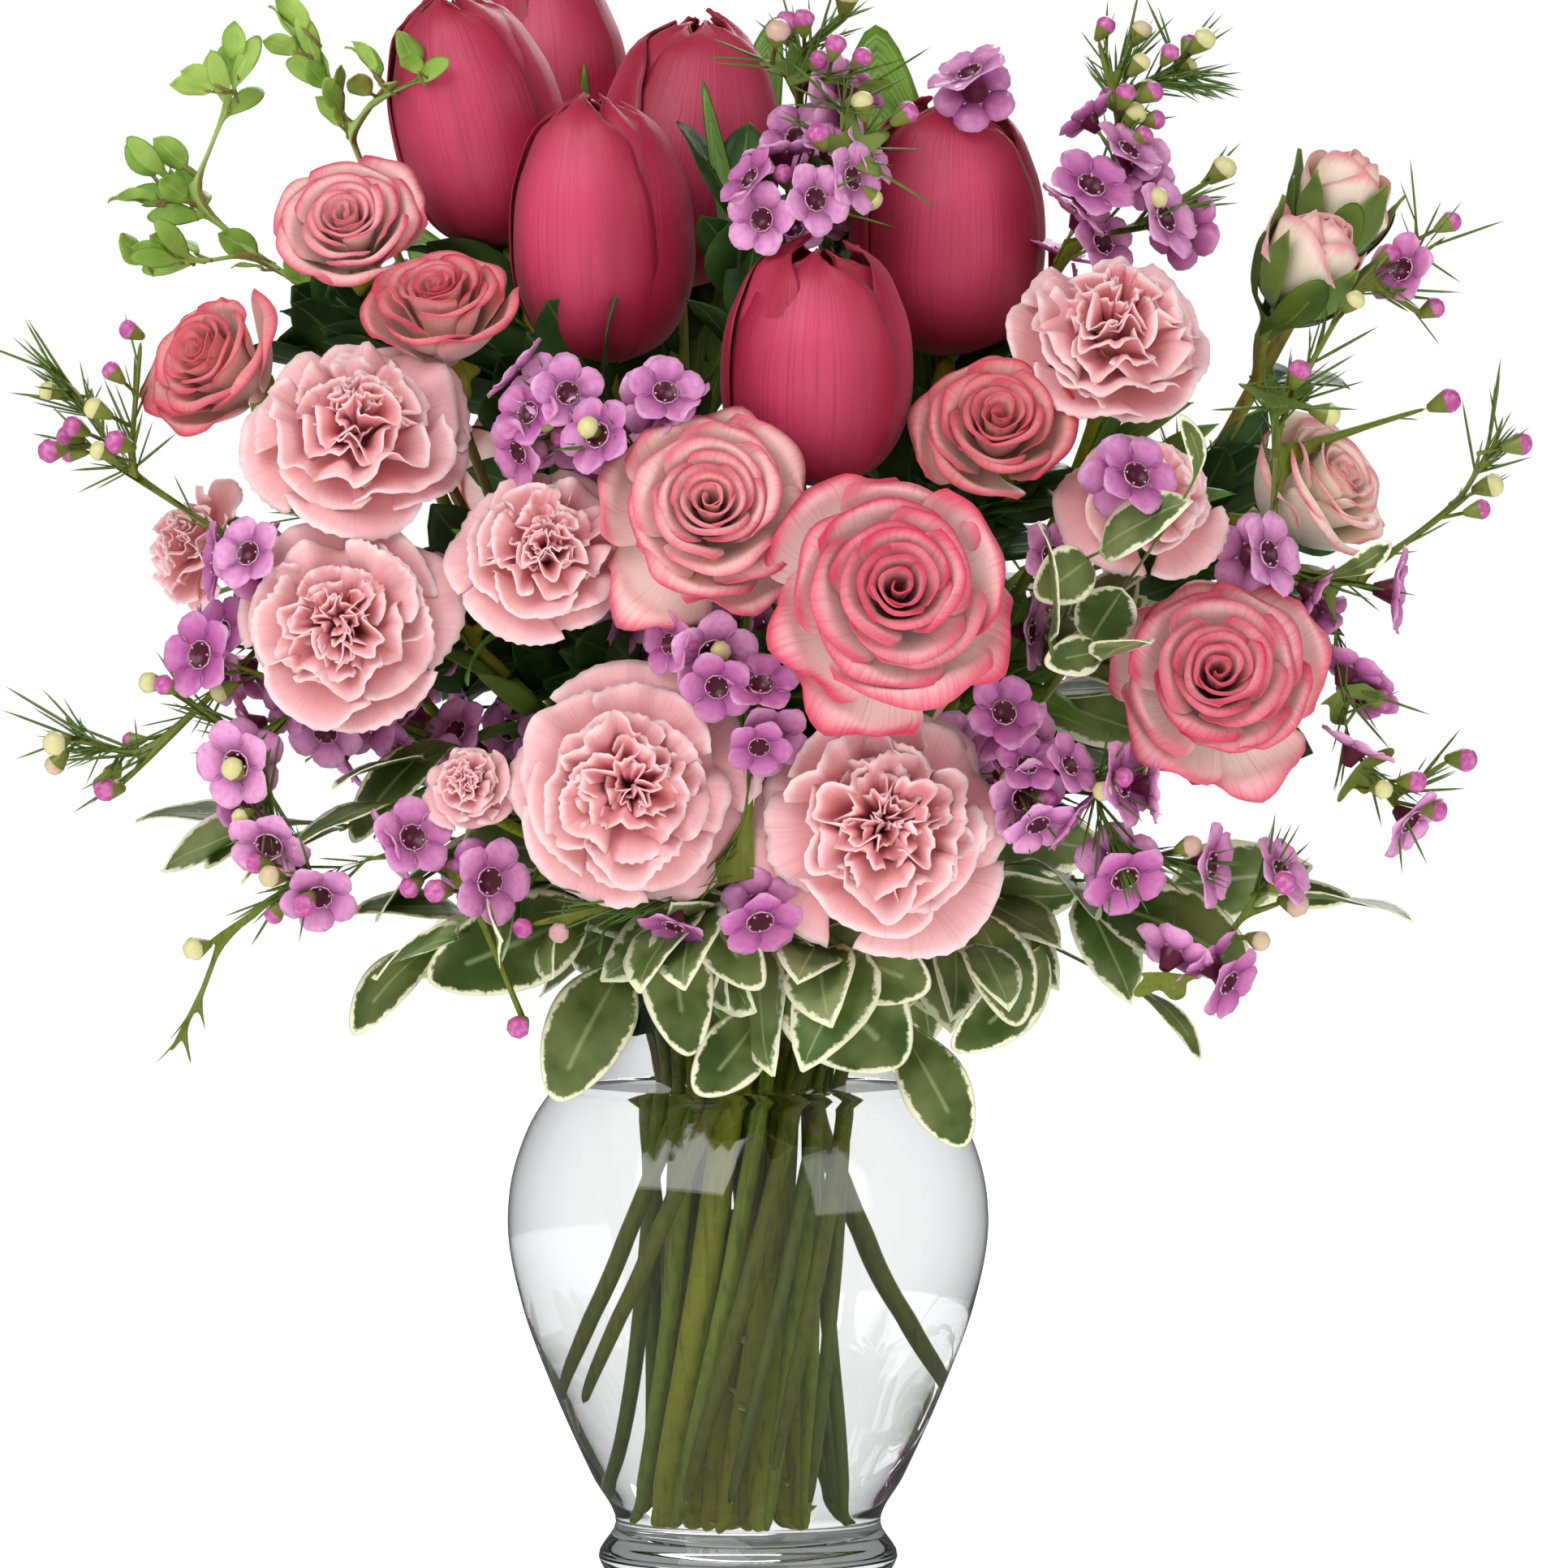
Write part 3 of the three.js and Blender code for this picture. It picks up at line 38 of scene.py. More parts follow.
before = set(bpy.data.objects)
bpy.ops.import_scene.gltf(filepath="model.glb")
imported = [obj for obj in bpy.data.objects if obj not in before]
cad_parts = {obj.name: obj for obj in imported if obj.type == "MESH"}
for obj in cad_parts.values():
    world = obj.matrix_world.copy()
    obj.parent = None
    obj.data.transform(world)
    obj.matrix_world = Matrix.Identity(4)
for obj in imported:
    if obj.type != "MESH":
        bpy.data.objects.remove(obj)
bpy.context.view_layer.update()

MM = 0.001
UP = Vector((0, 0, 1))
FULL_TURN = 2 * math.pi

# The way each tulip faces, its height, its turn, and its width over the usual one.
TULIPS = {
    "back_left": ((-0.05, 0.1, 1), 58, 0.4, 1.0),
    "left": ((-0.24, -0.08, 1), 58, 0.2, 1.0),
    "middle": ((0.08, 0.02, 1), 62, 0.9, 1.0),
    "right": ((0.02, -0.08, 1), 57, 0.5, 1.15),
    "front_left": ((-0.03, -0.14, 1), 61, 0.0, 1.0),
    "front": ((0.02, -0.2, 1), 55, 0.3, 1.15),
}
# The way each rose faces, its radius and its kind of colouring.
ROSES = {
    "back": ((-0.4, 0.85, 0.4), 21, "salmon"),
    "top_left": ((-0.15, -0.8, 0.55), 17.5, "salmon"),
    "upper_left": ((-0.12, -0.6, 0.8), 17.5, "coral"),
    "left": ((-0.6, -0.65, 0.45), 18, "coral"),
    "upper_right": ((0.05, -0.85, 0.5), 19, "coral"),
    "right_side": ((0.72, -0.45, 0.5), 20, "cream"),
    "middle_left": ((0, -0.95, 0.3), 22.5, "salmon"),
    "middle": ((0.05, -0.97, 0.22), 26, "hot"),
    "right": ((0.05, -0.95, 0.25), 23, "hot"),
}
LARGE_ROSE = 21
BUD_PETALS = 12
ROSEBUDS = {
    "bud_behind": ((0.35, -0.1, 0.9), 13), "bud_right": ((0.5, -0.35, 0.78), 13.5),
}
CARNATIONS = {
    "back": ((0.25, 0.93, 0.25), 25), "upper_right": ((0.12, -0.7, 0.7), 23.5),
    "far_left": ((-0.9, -0.35, 0.2), 14), "upper_left": ((0, -0.8, 0.6), 24),
    "right": ((0.08, -0.85, 0.45), 16.5), "middle_left": ((0, -0.85, 0.5), 19.5),
    "left": ((-0.2, -0.95, 0.15), 23.5), "small": ((-0.2, -0.85, 0.4), 10),
    "low_left": ((-0.02, -1, 0.05), 26), "low_right": ((0.05, -0.97, 0.12), 27),
}
SEEDS = {
    "tulip": 10, "rose": 40, "rosebud": 60, "sepals": 66, "carnation": 80, "waxflower": 200,
    "florets": 300, "buds": 320, "needles": 340, "stalks": 360, "places": 500, "filling": 520, "thorns": 700,
}


# ---- Meshes. Builds are in millimetres, and finished meshes in metres. ----
def spline(knots, values, at):
    """A smooth curve through values at the knots."""
    knots, values = np.array(knots, float), np.array(values, float)
    slopes = np.gradient(values, knots)
    i = np.clip(np.searchsorted(knots, at, side="right") - 1, 0, len(knots) - 2)
    run = knots[i + 1] - knots[i]
    s = np.clip((at - knots[i]) / run, 0, 1)
    start = (1 + 2 * s) * (1 - s) ** 2 * values[i] + s * (1 - s) ** 2 * run * slopes[i]
    end = s ** 2 * (3 - 2 * s) * values[i + 1] + s ** 2 * (s - 1) * run * slopes[i + 1]
    return start + end


def write(data, name, values, kind="FLOAT"):
    """Gives a mesh a point attribute of numbers or vectors."""
    key = "value" if kind == "FLOAT" else "vector"
    attribute = data.attributes.new(name, kind, "POINT")
    attribute.data.foreach_set(key, np.array(values, float).reshape(-1))


class Build:
    """Gathers points, faces and point attributes, and makes one mesh of them."""

    def __init__(self):
        self.points, self.faces, self.facts = [], [], {}
        self.count = 0

    def add(self, points, faces, **facts):
        points = np.asarray(points, float).reshape(-1, 3)
        self.points.append(points)
        self.faces.extend([[int(i) + self.count for i in face] for face in faces])
        for name, values in facts.items():
            spread = np.broadcast_to(np.asarray(values, float).reshape(-1), len(points))
            self.facts.setdefault(name, []).append(spread)
        self.count += len(points)

    def mesh(self, name, matrix=None):
        data = bpy.data.meshes.new(name)
        data.from_pydata((np.concatenate(self.points) * MM).tolist(), [], self.faces)
        for fact, parts in self.facts.items():
            write(data, fact, np.concatenate(parts))
        if matrix is not None:
            data.transform(matrix)
        data.shade_smooth()
        data.validate()
        return data


def net(across, along):
    """A row of places from -1 to 1 across a piece, and a column of places from 0 to 1 along it."""
    return np.linspace(-1, 1, across + 1)[None, :], np.linspace(0, 1, along + 1)[:, None]


def grid_of(x, y, z):
    return np.stack(np.broadcast_arrays(x, y, z), -1)


def normals_of(grid, least):
    """Normals of a grid of points, shorter than 1 where its faces are smaller than the least area."""
    normal = np.cross(np.gradient(grid, axis=1), np.gradient(grid, axis=0))
    return normal / np.maximum(np.linalg.norm(normal, axis=2, keepdims=True), least)


LEAST_FACE = 1e-3
INNER_SHARE = 0.5
RIM_SHARE = 0.2


def shell(build, grid, thickness, **facts):
    """Closes a grid of points into a thin shell, which is thinner at its rim."""
    rows, columns = grid.shape[:2]
    share = np.full((rows, columns, 1), INNER_SHARE)
    share[-1] = share[:, 0] = share[:, -1] = RIM_SHARE
    lift = normals_of(grid, LEAST_FACE) * thickness * share
    points = np.concatenate([(grid + lift).reshape(-1, 3), (grid - lift).reshape(-1, 3)])
    half = rows * columns
    index = np.arange(half).reshape(rows, columns)
    quads = np.stack([index[:-1, :-1], index[:-1, 1:], index[1:, 1:], index[1:, :-1]], -1).reshape(-1, 4)
    faces = quads.tolist() + (quads[:, ::-1] + half).tolist()
    rim = [*index[0], *index[1:, -1], *index[-1, -2::-1], *index[-2:0:-1, 0]]
    faces += [[b, a, a + half, b + half] for a, b in zip(rim, rim[1:] + rim[:1])]
    doubled = {name: np.tile(np.broadcast_to(values, (rows, columns)).reshape(-1), 2)
               for name, values in facts.items()}
    build.add(points, faces, **doubled)


def lathe(build, outline, sides, **facts):
    """
    A closed surface of revolution about Z from [radius, height] points, the first and last on the axis.
    A fact is one number, or one for each point of the outline.
    """
    angles = np.linspace(0, FULL_TURN, sides, endpoint=False)
    rings = [[(r * math.cos(a), r * math.sin(a), z) for a in angles] for r, z in outline[1:-1]]
    points = [(0, 0, outline[0][1]), *sum(rings, []), (0, 0, outline[-1][1])]
    last = len(points) - 1
    faces = []
    for i in range(sides):
        j = (i + 1) % sides
        faces.append([0, 1 + j, 1 + i])
        for ring in range(1, last - sides, sides):
            faces.append([ring + i, ring + j, ring + sides + j, ring + sides + i])
        faces.append([last - sides + i, last - sides + j, last])
    each = [1, *[sides] * len(rings), 1]
    build.add(points, faces, **{name: np.repeat(values, each) if np.ndim(values) else values
                                for name, values in facts.items()})


def link(name, data, material=None):
    """An object at the origin for a mesh whose place is in its points."""
    piece = bpy.data.objects.new(name, data)
    bpy.context.scene.collection.objects.link(piece)
    if material:
        data.materials.append(material)
    return piece


def deliver(name, data, node, material=None):
    """Makes a finished piece, and hands it to the frame in the place of its node."""
    piece = link(name, data, material)
    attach(piece, "root")
    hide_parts(node)


def settled(piece):
    """A plain mesh of a piece with its modifier applied. The piece itself goes."""
    data = bpy.data.meshes.new_from_object(piece.evaluated_get(bpy.context.evaluated_depsgraph_get()))
    bpy.data.objects.remove(piece)
    return data


def nodes_of(prefix):
    return [node for node in sorted(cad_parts) if node.startswith(prefix)]


def places_of(data):
    points = np.empty(len(data.vertices) * 3)
    data.vertices.foreach_get("co", points)
    return points.reshape(-1, 3)


SEAT_DEPTH = 0.05 * MM


def seat_of(node, facing):
    """A matrix that takes a bloom from the origin, facing Z, to the middle of its node's flat seat."""
    facing = Vector(facing).normalized()
    points = places_of(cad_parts[node].data)
    depth = points @ np.array(facing)
    seat = Vector(points[depth < depth.min() + SEAT_DEPTH].mean(0))
    return Matrix.Translation(seat) @ UP.rotation_difference(facing).to_matrix().to_4x4()


# ---- The room between the blooms ----
# Shares of a tulip's height at which its balls stand, and their radii.
TULIP_BALLS = ((0.22, 0.26), (0.45, 0.34), (0.7, 0.31), (0.9, 0.2))
# Shares of a round bloom's radius at which its ball stands, and the ball's radius.
ROUND_BALLS = (
    ("rose", ROSES, 0.72, 0.98), ("rose", ROSEBUDS, 1.1, 1.0), ("carnation", CARNATIONS, 0.55, 0.95),
)


def bloom_room():
    """Balls that stand for the room that each bloom takes, as middles and radii in metres."""
    balls = []
    for name, (facing, height, _, wide) in TULIPS.items():
        for rise, radius in TULIP_BALLS:
            balls.append((f"tulip_{name}", facing, rise * height, radius * height * wide))
    for kind, blooms, rise, share in ROUND_BALLS:
        for name, (facing, radius, *_) in blooms.items():
            balls.append((f"{kind}_{name}", facing, rise * radius, share * radius))
    middles = [seat_of(node, facing) @ Vector((0, 0, rise * MM)) for node, facing, rise, _ in balls]
    return np.array(middles), np.array([radius for *_, radius in balls]) * MM


class Room:
    """The room that is taken by blooms, and by what has been set among them."""

    def __init__(self):
        self.middles, self.radii = bloom_room()

    def gap(self, points):
        """The least distance from points to what takes room."""
        apart = np.linalg.norm(np.atleast_2d(points)[:, None] - self.middles[None], axis=2)
        return (apart - self.radii[None]).min()

    def take(self, point, radius):
        self.middles = np.vstack([self.middles, point])
        self.radii = np.append(self.radii, radius)


# The middle and the half sizes of the bouquet, inside which what fills it stays.
FILL_MIDDLE = np.array((0.008, 0.0, 0.215))
FILL_HALF = np.array((0.15, 0.1, 0.14))
# The X and Z of the point that stems and leaves grow away from.
HEART_X, HEART_Z = 0.008, 0.2


def depth_in(point):
    """0 at the bouquet's middle and 1 on the face that its blooms make."""
    return float(np.linalg.norm((np.array(point) - FILL_MIDDLE) / FILL_HALF))


def away(point, lift):
    """The way out of the bouquet at a point. A lift below 1 makes it flatter."""
    return Vector((point.x - HEART_X, point.y, (point.z - HEART_Z) * lift)).normalized()


def drift(chance):
    return Vector([chance.uniform(-1, 1) for _ in range(3)])


# ---- Finishes ----
def tint(code):
    """A colour of the form "rrggbb" as linear values."""
    shares = [int(code[i:i + 2], 16) / 255 for i in (0, 2, 4)]
    return tuple(c / 12.92 if c <= 0.04045 else ((c + 0.055) / 1.055) ** 2.4 for c in shares) + (1.0,)


def maths(operation, swapped=False):
    """A method that adds the Math node of an operation on two values."""
    def method(self, other):
        return self.do(operation, other, self) if swapped else self.do(operation, self, other)
    return method


class Value:
    """A socket that takes part in Python expressions."""

    def __init__(self, nodes, socket):
        self.nodes, self.socket = nodes, socket

    def do(self, operation, *values):
        return self.nodes.out("ShaderNodeMath", {"operation": operation}, dict(enumerate(values)))

    __add__, __radd__ = maths("ADD"), maths("ADD", True)
    __sub__, __rsub__ = maths("SUBTRACT"), maths("SUBTRACT", True)
    __mul__, __rmul__ = maths("MULTIPLY"), maths("MULTIPLY", True)
    __lt__, __gt__, __pow__ = maths("LESS_THAN"), maths("GREATER_THAN"), maths("POWER")

    def __abs__(self):
        return self.do("ABSOLUTE", self)

    def ease(self, low, high):
        """0 below low, 1 above high and smooth between them."""
        sockets = {"Value": self, "From_Min": low, "From_Max": high}
        return self.nodes.out("ShaderNodeMapRange", {"interpolation_type": "SMOOTHSTEP"}, sockets)

    def height(self):
        """The Z of a vector."""
        return self.nodes.out("ShaderNodeSeparateXYZ", {}, {0: self}, 2)


class Nodes:
    """A node tree that is filled from expressions."""

    def __init__(self, tree):
        self.tree = tree

    def plug(self, value, socket):
        """Links a socket to a value, or sets it."""
        if isinstance(value, Value):
            self.tree.links.new(value.socket, socket)
        else:
            socket.default_value = value

    def add(self, kind, settings=None, sockets=None):
        """A node with its settings, then the values or links of its sockets."""
        node = self.tree.nodes.new(kind)
        for name, value in (settings or {}).items():
            setattr(node, name, value)
        for name, value in (sockets or {}).items():
            self.plug(value, node.inputs[name.replace("_", " ") if isinstance(name, str) else name])
        return node

    def out(self, kind, settings=None, sockets=None, output=0):
        """An output of a new node."""
        return Value(self, self.add(kind, settings, sockets).outputs[output])


class Finish(Nodes):
    """A procedural material on one Principled shader."""

    def __init__(self, name, **settings):
        self.material = bpy.data.materials.new(name)
        self.material.use_nodes = True
        super().__init__(self.material.node_tree)
        self.tree.nodes.clear()
        self.shader = self.add("ShaderNodeBsdfPrincipled", {}, settings)
        output = self.add("ShaderNodeOutputMaterial")
        self.tree.links.new(self.shader.outputs[0], output.inputs[0])

    def facts(self, *names):
        """The piece's own point attributes."""
        return [self.out("ShaderNodeAttribute", {"attribute_name": name}, output="Fac") for name in names]

    def place(self):
        return self.out("ShaderNodeTexCoord", output="Object")

    def vector(self, x, y, z):
        return self.out("ShaderNodeCombineXYZ", {}, {"X": x, "Y": y, "Z": z})

    def noise(self, scale, vector, detail, roughness=0.5):
        sockets = {"Scale": scale, "Detail": detail, "Roughness": roughness, "Vector": vector}
        return self.out("ShaderNodeTexNoise", {}, sockets, "Fac")

    def mix(self, share, first, second):
        return self.out("ShaderNodeMix", {"data_type": "RGBA"}, {0: share, 6: first, 7: second}, 2)

    def lay(self, body, share, code):
        """A colour laid over a body by a share."""
        return self.mix(share, body, tint(code))

    def bump(self, height, distance, strength):
        sockets = {"Height": height, "Distance": distance * MM, "Strength": strength}
        self.set(Normal=self.out("ShaderNodeBump", {}, sockets))

    def set(self, **sockets):
        for name, value in sockets.items():
            self.plug(value, self.shader.inputs[name.replace("_", " ")])


def petal_finish(name, base, middle, edge, heart, deep, edge_from, roughness=0.5):
    """A petal that goes from its base colour through its middle to its edge. The heart has its own."""
    finish = Finish(name, Sheen_Weight=0.12, Sheen_Roughness=0.4, Subsurface_Weight=0.1,
                    Subsurface_Radius=(0.004, 0.0015, 0.001), Subsurface_Scale=0.5)
    along, across, layer, tone = finish.facts("along", "across", "layer", "tone")
    grain = finish.noise(1.0, finish.vector(across * 26.0, along * 1.6, tone * 40.0), 4.0, 0.6)
    patches = finish.noise(1.0, finish.vector(across * 2.2, along * 2.4, tone * 17.0), 2.0)
    body = finish.lay(tint(base), along.ease(0.35, 0.95), middle)
    body = finish.lay(body, layer.ease(0.3, 1.0) * 0.8, heart)
    body = finish.lay(body, patches.ease(0.35, 0.75) * 0.45, base)
    reach = along + (abs(across) ** 3.0) * 0.07 + (patches - 0.5) * 0.16 + (grain - 0.5) * 0.09
    body = finish.lay(body, reach.ease(edge_from, 1.02) * (0.75 + tone * 0.25), edge)
    body = finish.lay(body, grain.ease(0.45, 0.8) * 0.3 + tone * 0.12, deep)
    finish.set(Base_Color=body, Roughness=grain * 0.25 + (roughness - 0.12))
    finish.bump(grain + patches * 0.5, 0.25, 0.5)
    return finish.material


def tulip_finish(colour):
    """Magenta petals: paler along the middle as a painted highlight, darker towards the sides as painted
    shade, redder at the tips, with fine lines along them.
    """
    finish = Finish("tulip_petal", Sheen_Weight=0.1, Sheen_Roughness=0.35,
                    Subsurface_Weight=0.08, Subsurface_Radius=(0.004, 0.0012, 0.001), Subsurface_Scale=0.5)
    along, across, layer, tone = finish.facts("along", "across", "layer", "tone")
    lines = finish.noise(1.0, finish.vector(across * 42.0, along * 1.3, tone * 40.0), 4.0, 0.65)
    patches = finish.noise(1.0, finish.vector(across * 3.0, along * 2.5, tone * 11.0), 2.0)
    # Painted highlight: the middle of each petal, away from its base and tip, is painted paler.
    middle = 1.0 - abs(across).ease(0.15, 0.95)
    pale = middle * along.ease(0.1, 0.45) * (1.0 - along.ease(0.75, 1.0) * 0.7)
    body = finish.lay(tint("a31236"), pale * 0.8 + (patches - 0.5) * 0.4, "da4a70")
    for share, code in (
        (along.ease(0.8, 1.0) * 0.65, "a81430"),
        (lines.ease(0.45, 0.75) * 0.4, "7c1026"),
        # Painted shade: the sides of each petal are painted darker.
        (abs(across).ease(0.8, 1.0) * 0.45, "84122c"),
        (layer.ease(0.2, 0.8) * 0.5, "a81433"),
        ((1.0 - along.ease(0.0, 0.12)) * 0.4, "d9a0a0"),
    ):
        body = finish.lay(body, share, code)
    finish.set(Base_Color=finish.mix(0.12, body, (*colour, 1.0)), Roughness=lines * 0.2 + 0.28)
    finish.bump(lines, 0.3, 0.6)
    return finish.material


# Heights, in metres, below which the ends of stems show their pale cut.
CUT_FROM, CUT_FULL = 0.09, 0.05


def leaf_finish(name, green, pale, vein, stem, cream=None, cream_width=0.0, lines=None):
    """Leaves and their stems. "rim" is 1 at a leaf's edge and 0 on its midrib, "leaf" is 0 on stems."""
    finish = Finish(name, Roughness=0.42, Specular_IOR_Level=0.35, Subsurface_Weight=0.06,
                    Subsurface_Radius=(0.001, 0.002, 0.0005), Subsurface_Scale=0.5)
    place = finish.place()
    rim, leaf = finish.facts("rim", "leaf")
    clouds = finish.noise(60.0, place, 3.0)
    fine = finish.noise(420.0, place, 2.0)
    body = finish.lay(tint(green), clouds.ease(0.35, 0.68), pale)
    if lines:
        run = finish.noise(1.0, finish.vector(rim * lines, clouds * 0.6, leaf), 3.0, 0.7)
        body = finish.lay(body, run.ease(0.42, 0.7) * 0.5, vein)
    midrib = 1.0 - rim.ease(0.0, 0.09)
    body = finish.lay(body, midrib * leaf * 0.4, vein)
    if cream:
        ragged = finish.noise(260.0, place, 3.0, 0.7)
        depth = (1.0 - rim) * finish.facts("wide")[0] + (ragged - 0.5) * cream_width * 2.6
        body = finish.lay(body, (1.0 - depth.ease(cream_width * 0.45, cream_width)) * leaf, cream)
    stretch = {0: place, 1: (1.0, 1.0, 0.12)}
    fibres = finish.noise(900.0, finish.out("ShaderNodeVectorMath", {"operation": "MULTIPLY"}, stretch), 2.0)
    normal = finish.out("ShaderNodeNewGeometry", output="Normal")
    cut = normal.height().ease(-0.6, -0.8) * place.height().ease(CUT_FROM, CUT_FULL)
    bark = tint(stem)
    for share, code in (
        (fine.ease(0.4, 0.75) * 0.3, green),
        (finish.noise(22.0, place, 2.0).ease(0.5, 0.75) * 0.4, pale),
        (finish.noise(9.0, place, 2.0).ease(0.56, 0.7) * 0.55, "7a5c26"),
        (fibres.ease(0.5, 0.75) * 0.45, "35400f"),
        (cut * 0.8, "d9dcae"),
    ):
        bark = finish.lay(bark, share, code)
    finish.set(Base_Color=finish.mix(leaf.ease(0.3, 0.7), bark, body))
    finish.bump(clouds * 0.6 + fine * 0.25 + midrib * 0.4 + fibres * 0.3, 0.5, 0.6)
    return finish.material


def wax_finish(colour):
    """Waxflower petals, cups and buds. "zone" is 0 petal, 1 rim, 2 cup, 3 green and 4 bud."""
    finish = Finish("waxflower", Subsurface_Weight=0.1,
                    Subsurface_Radius=(0.002, 0.001, 0.002), Subsurface_Scale=0.5, Coat_Weight=0.15)
    zone, tone, along = finish.facts("zone", "tone", "along")
    clouds = finish.noise(700.0, finish.place(), 2.0)
    bud = finish.lay(tint("bf4f98"), tone.ease(0.68, 0.76), "d6d68c")
    bud = finish.lay(bud, clouds.ease(0.4, 0.7) * 0.35, "e6b4d4")
    body = finish.lay((*colour, 1.0), tone.ease(0.2, 0.9), "c66aac")
    for share, code in (
        (along.ease(0.55, 1.0) * 0.35, "f2c6e4"),
        # Painted shade: the petals are painted dark magenta towards the cup.
        ((1.0 - along.ease(0.1, 0.6)) * 0.7, "8a2f72"),
        (clouds.ease(0.4, 0.7) * 0.25, "a04c8c"),
        (zone.ease(0.4, 0.8), "e6c0d6"),
        (zone.ease(1.2, 1.8), "5a1430"),
        (zone.ease(2.2, 2.8), "7f8a3a"),
    ):
        body = finish.lay(body, share, code)
    body = finish.mix(zone.ease(3.3, 3.7), body, bud)
    finish.set(Base_Color=body, Roughness=clouds * 0.2 + 0.25)
    finish.bump(clouds, 0.2, 0.4)
    return finish.material


# ---- Petals and blooms. Lengths in a ring of petals are shares of the bloom's size. ----
PETAL_KNOTS = (0, 0.3, 0.6, 0.85, 1)
PETAL = {
    "knots": PETAL_KNOTS, "point": 2, "teeth": 0, "loose": 0.05, "tuck": 0.03, "roll": 0, "crease": 0,
    "thick": 0.55, "layer": 0.0,
}
TOOTH = 0.035
CREASE_WIDTH = 0.12
LEAST_SHARE = 1e-9


def petals(build, ring, size, seed, wide=1.0):
    """One ring of petals round Z."""
    ring = {**PETAL, **ring}
    knots = ring["knots"]
    u, v = net(ring["across"], ring["along"])
    chance = random.Random(seed)
    vary = lambda amount: 1 + amount * chance.uniform(-1, 1)
    for k in range(ring["count"]):
        reach = v * (1 - ring["rounding"] * vary(0.3) * np.abs(u) ** ring["point"] * v)
        if ring["teeth"]:
            jag = np.abs((u * ring["teeth"] + chance.random()) % 1 - 0.5) + 0.3 * np.sin(u * 40 + k)
            reach = reach - TOOTH * jag * v ** 6
        radius = spline(knots, ring["radius"], reach) * vary(ring["loose"])
        radius = radius + ring["tuck"] * u * v + ring["roll"] * np.abs(u) ** 3 * v ** 2
        height = spline(knots, ring["height"], reach) * vary(0.03)
        turn = ring["turn"] + k / ring["count"] * FULL_TURN + ring["stray"] * chance.uniform(-1, 1)
        angle = turn + u * spline(knots, ring["half"], v)
        height = height + ring["lean"] * chance.uniform(-1, 1) * v ** 2
        grid = grid_of(radius * np.cos(angle), radius * np.sin(angle), height)
        waves = 0
        for power, (pitch, swing) in enumerate(ring["waves"]):
            phase, slant = chance.uniform(0, 6.3), chance.uniform(-1.5, 1.5)
            waves = waves + swing * np.sin(pitch * vary(0.2) * u + phase + slant * v) * v ** (1.5 + power)
        waves = waves + ring["crease"] * np.exp(-(u / CREASE_WIDTH) ** 2) * v * (1.2 - v)
        grid = (grid + normals_of(grid, LEAST_SHARE) * waves[..., None]) * size * np.array((wide, wide, 1))
        shell(build, grid, ring["thick"], along=v, across=u, layer=ring["layer"], tone=chance.random())


TULIP_RING = {
    "count": 3, "across": 24, "along": 34, "knots": (0, 0.14, 0.34, 0.56, 0.78, 0.92, 1),
    "half": (1.02, 1.1, 1.16, 1.16, 1.06, 0.82, 0.2), "rounding": 0.03, "loose": 0.02, "lean": 0.015,
    "crease": 0.008, "stray": 0.04,
}
TULIP_RINGS = (
    {**TULIP_RING, "turn": 0, "layer": 0.0, "tuck": 0.014, "waves": ((2.4, 0.008), (6, 0.006)),
     "radius": (0.05, 0.2, 0.31, 0.338, 0.295, 0.2, 0.08),
     "height": (0.005, 0.07, 0.24, 0.48, 0.74, 0.92, 1.0)},
    {**TULIP_RING, "turn": math.pi / 3, "layer": 0.6, "tuck": 0.012, "waves": ((2.2, 0.008), (6, 0.01)),
     "radius": (0.04, 0.18, 0.285, 0.31, 0.262, 0.168, 0.03),
     "height": (0.02, 0.08, 0.25, 0.48, 0.75, 0.92, 1.0)},
)
# Petals from the heart to the outside: share of the way out, radius, height and half spread.
ROSE_SHAPES = (
    (0.0, (0.01, 0.05, 0.07, 0.08, 0.09), (0.5, 0.78, 1.05, 1.2, 1.25), 2.1),
    (0.14, (0.04, 0.14, 0.18, 0.21, 0.24), (0.42, 0.74, 1.03, 1.21, 1.26), 1.6),
    (0.38, (0.07, 0.26, 0.35, 0.43, 0.5), (0.32, 0.64, 0.98, 1.18, 1.2), 1.2),
    (0.62, (0.1, 0.4, 0.57, 0.7, 0.79), (0.2, 0.5, 0.85, 1.05, 1.04), 0.95),
    (0.82, (0.12, 0.48, 0.73, 0.88, 0.98), (0.14, 0.34, 0.66, 0.88, 0.8), 0.86),
    (0.9, (0.12, 0.52, 0.84, 1.0, 1.12), (0.12, 0.26, 0.5, 0.7, 0.6), 0.78),
    (1.0, (0.12, 0.56, 0.94, 1.14, 1.3), (0.08, 0.16, 0.32, 0.44, 0.3), 0.7),
)
BUD_SHAPES = (
    (0.0, (0.02, 0.16, 0.2, 0.17, 0.1), (0.5, 0.95, 1.4, 1.8, 2.04), 2.2),
    (0.35, (0.05, 0.36, 0.44, 0.38, 0.24), (0.36, 0.82, 1.35, 1.76, 2.02), 1.8),
    (0.7, (0.08, 0.54, 0.68, 0.66, 0.56), (0.24, 0.7, 1.22, 1.62, 1.92), 1.35),
    (1.0, (0.1, 0.64, 0.84, 0.88, 0.9), (0.15, 0.6, 1.12, 1.5, 1.74), 1.15),
)
SEPAL_RING = {
    "count": 5, "turn": 0.3, "across": 8, "along": 14, "rounding": 0, "stray": 0.1, "lean": 0.1,
    "radius": (0.12, 0.68, 0.94, 0.98, 1.08), "height": (0.1, 0.45, 1.0, 1.42, 1.72),
    "half": (0.34, 0.42, 0.34, 0.18, 0.02), "waves": ((2.0, 0.012), (5, 0.012)),
}
GOLDEN_TURN = 2.39996
POINTED_FROM = 0.88


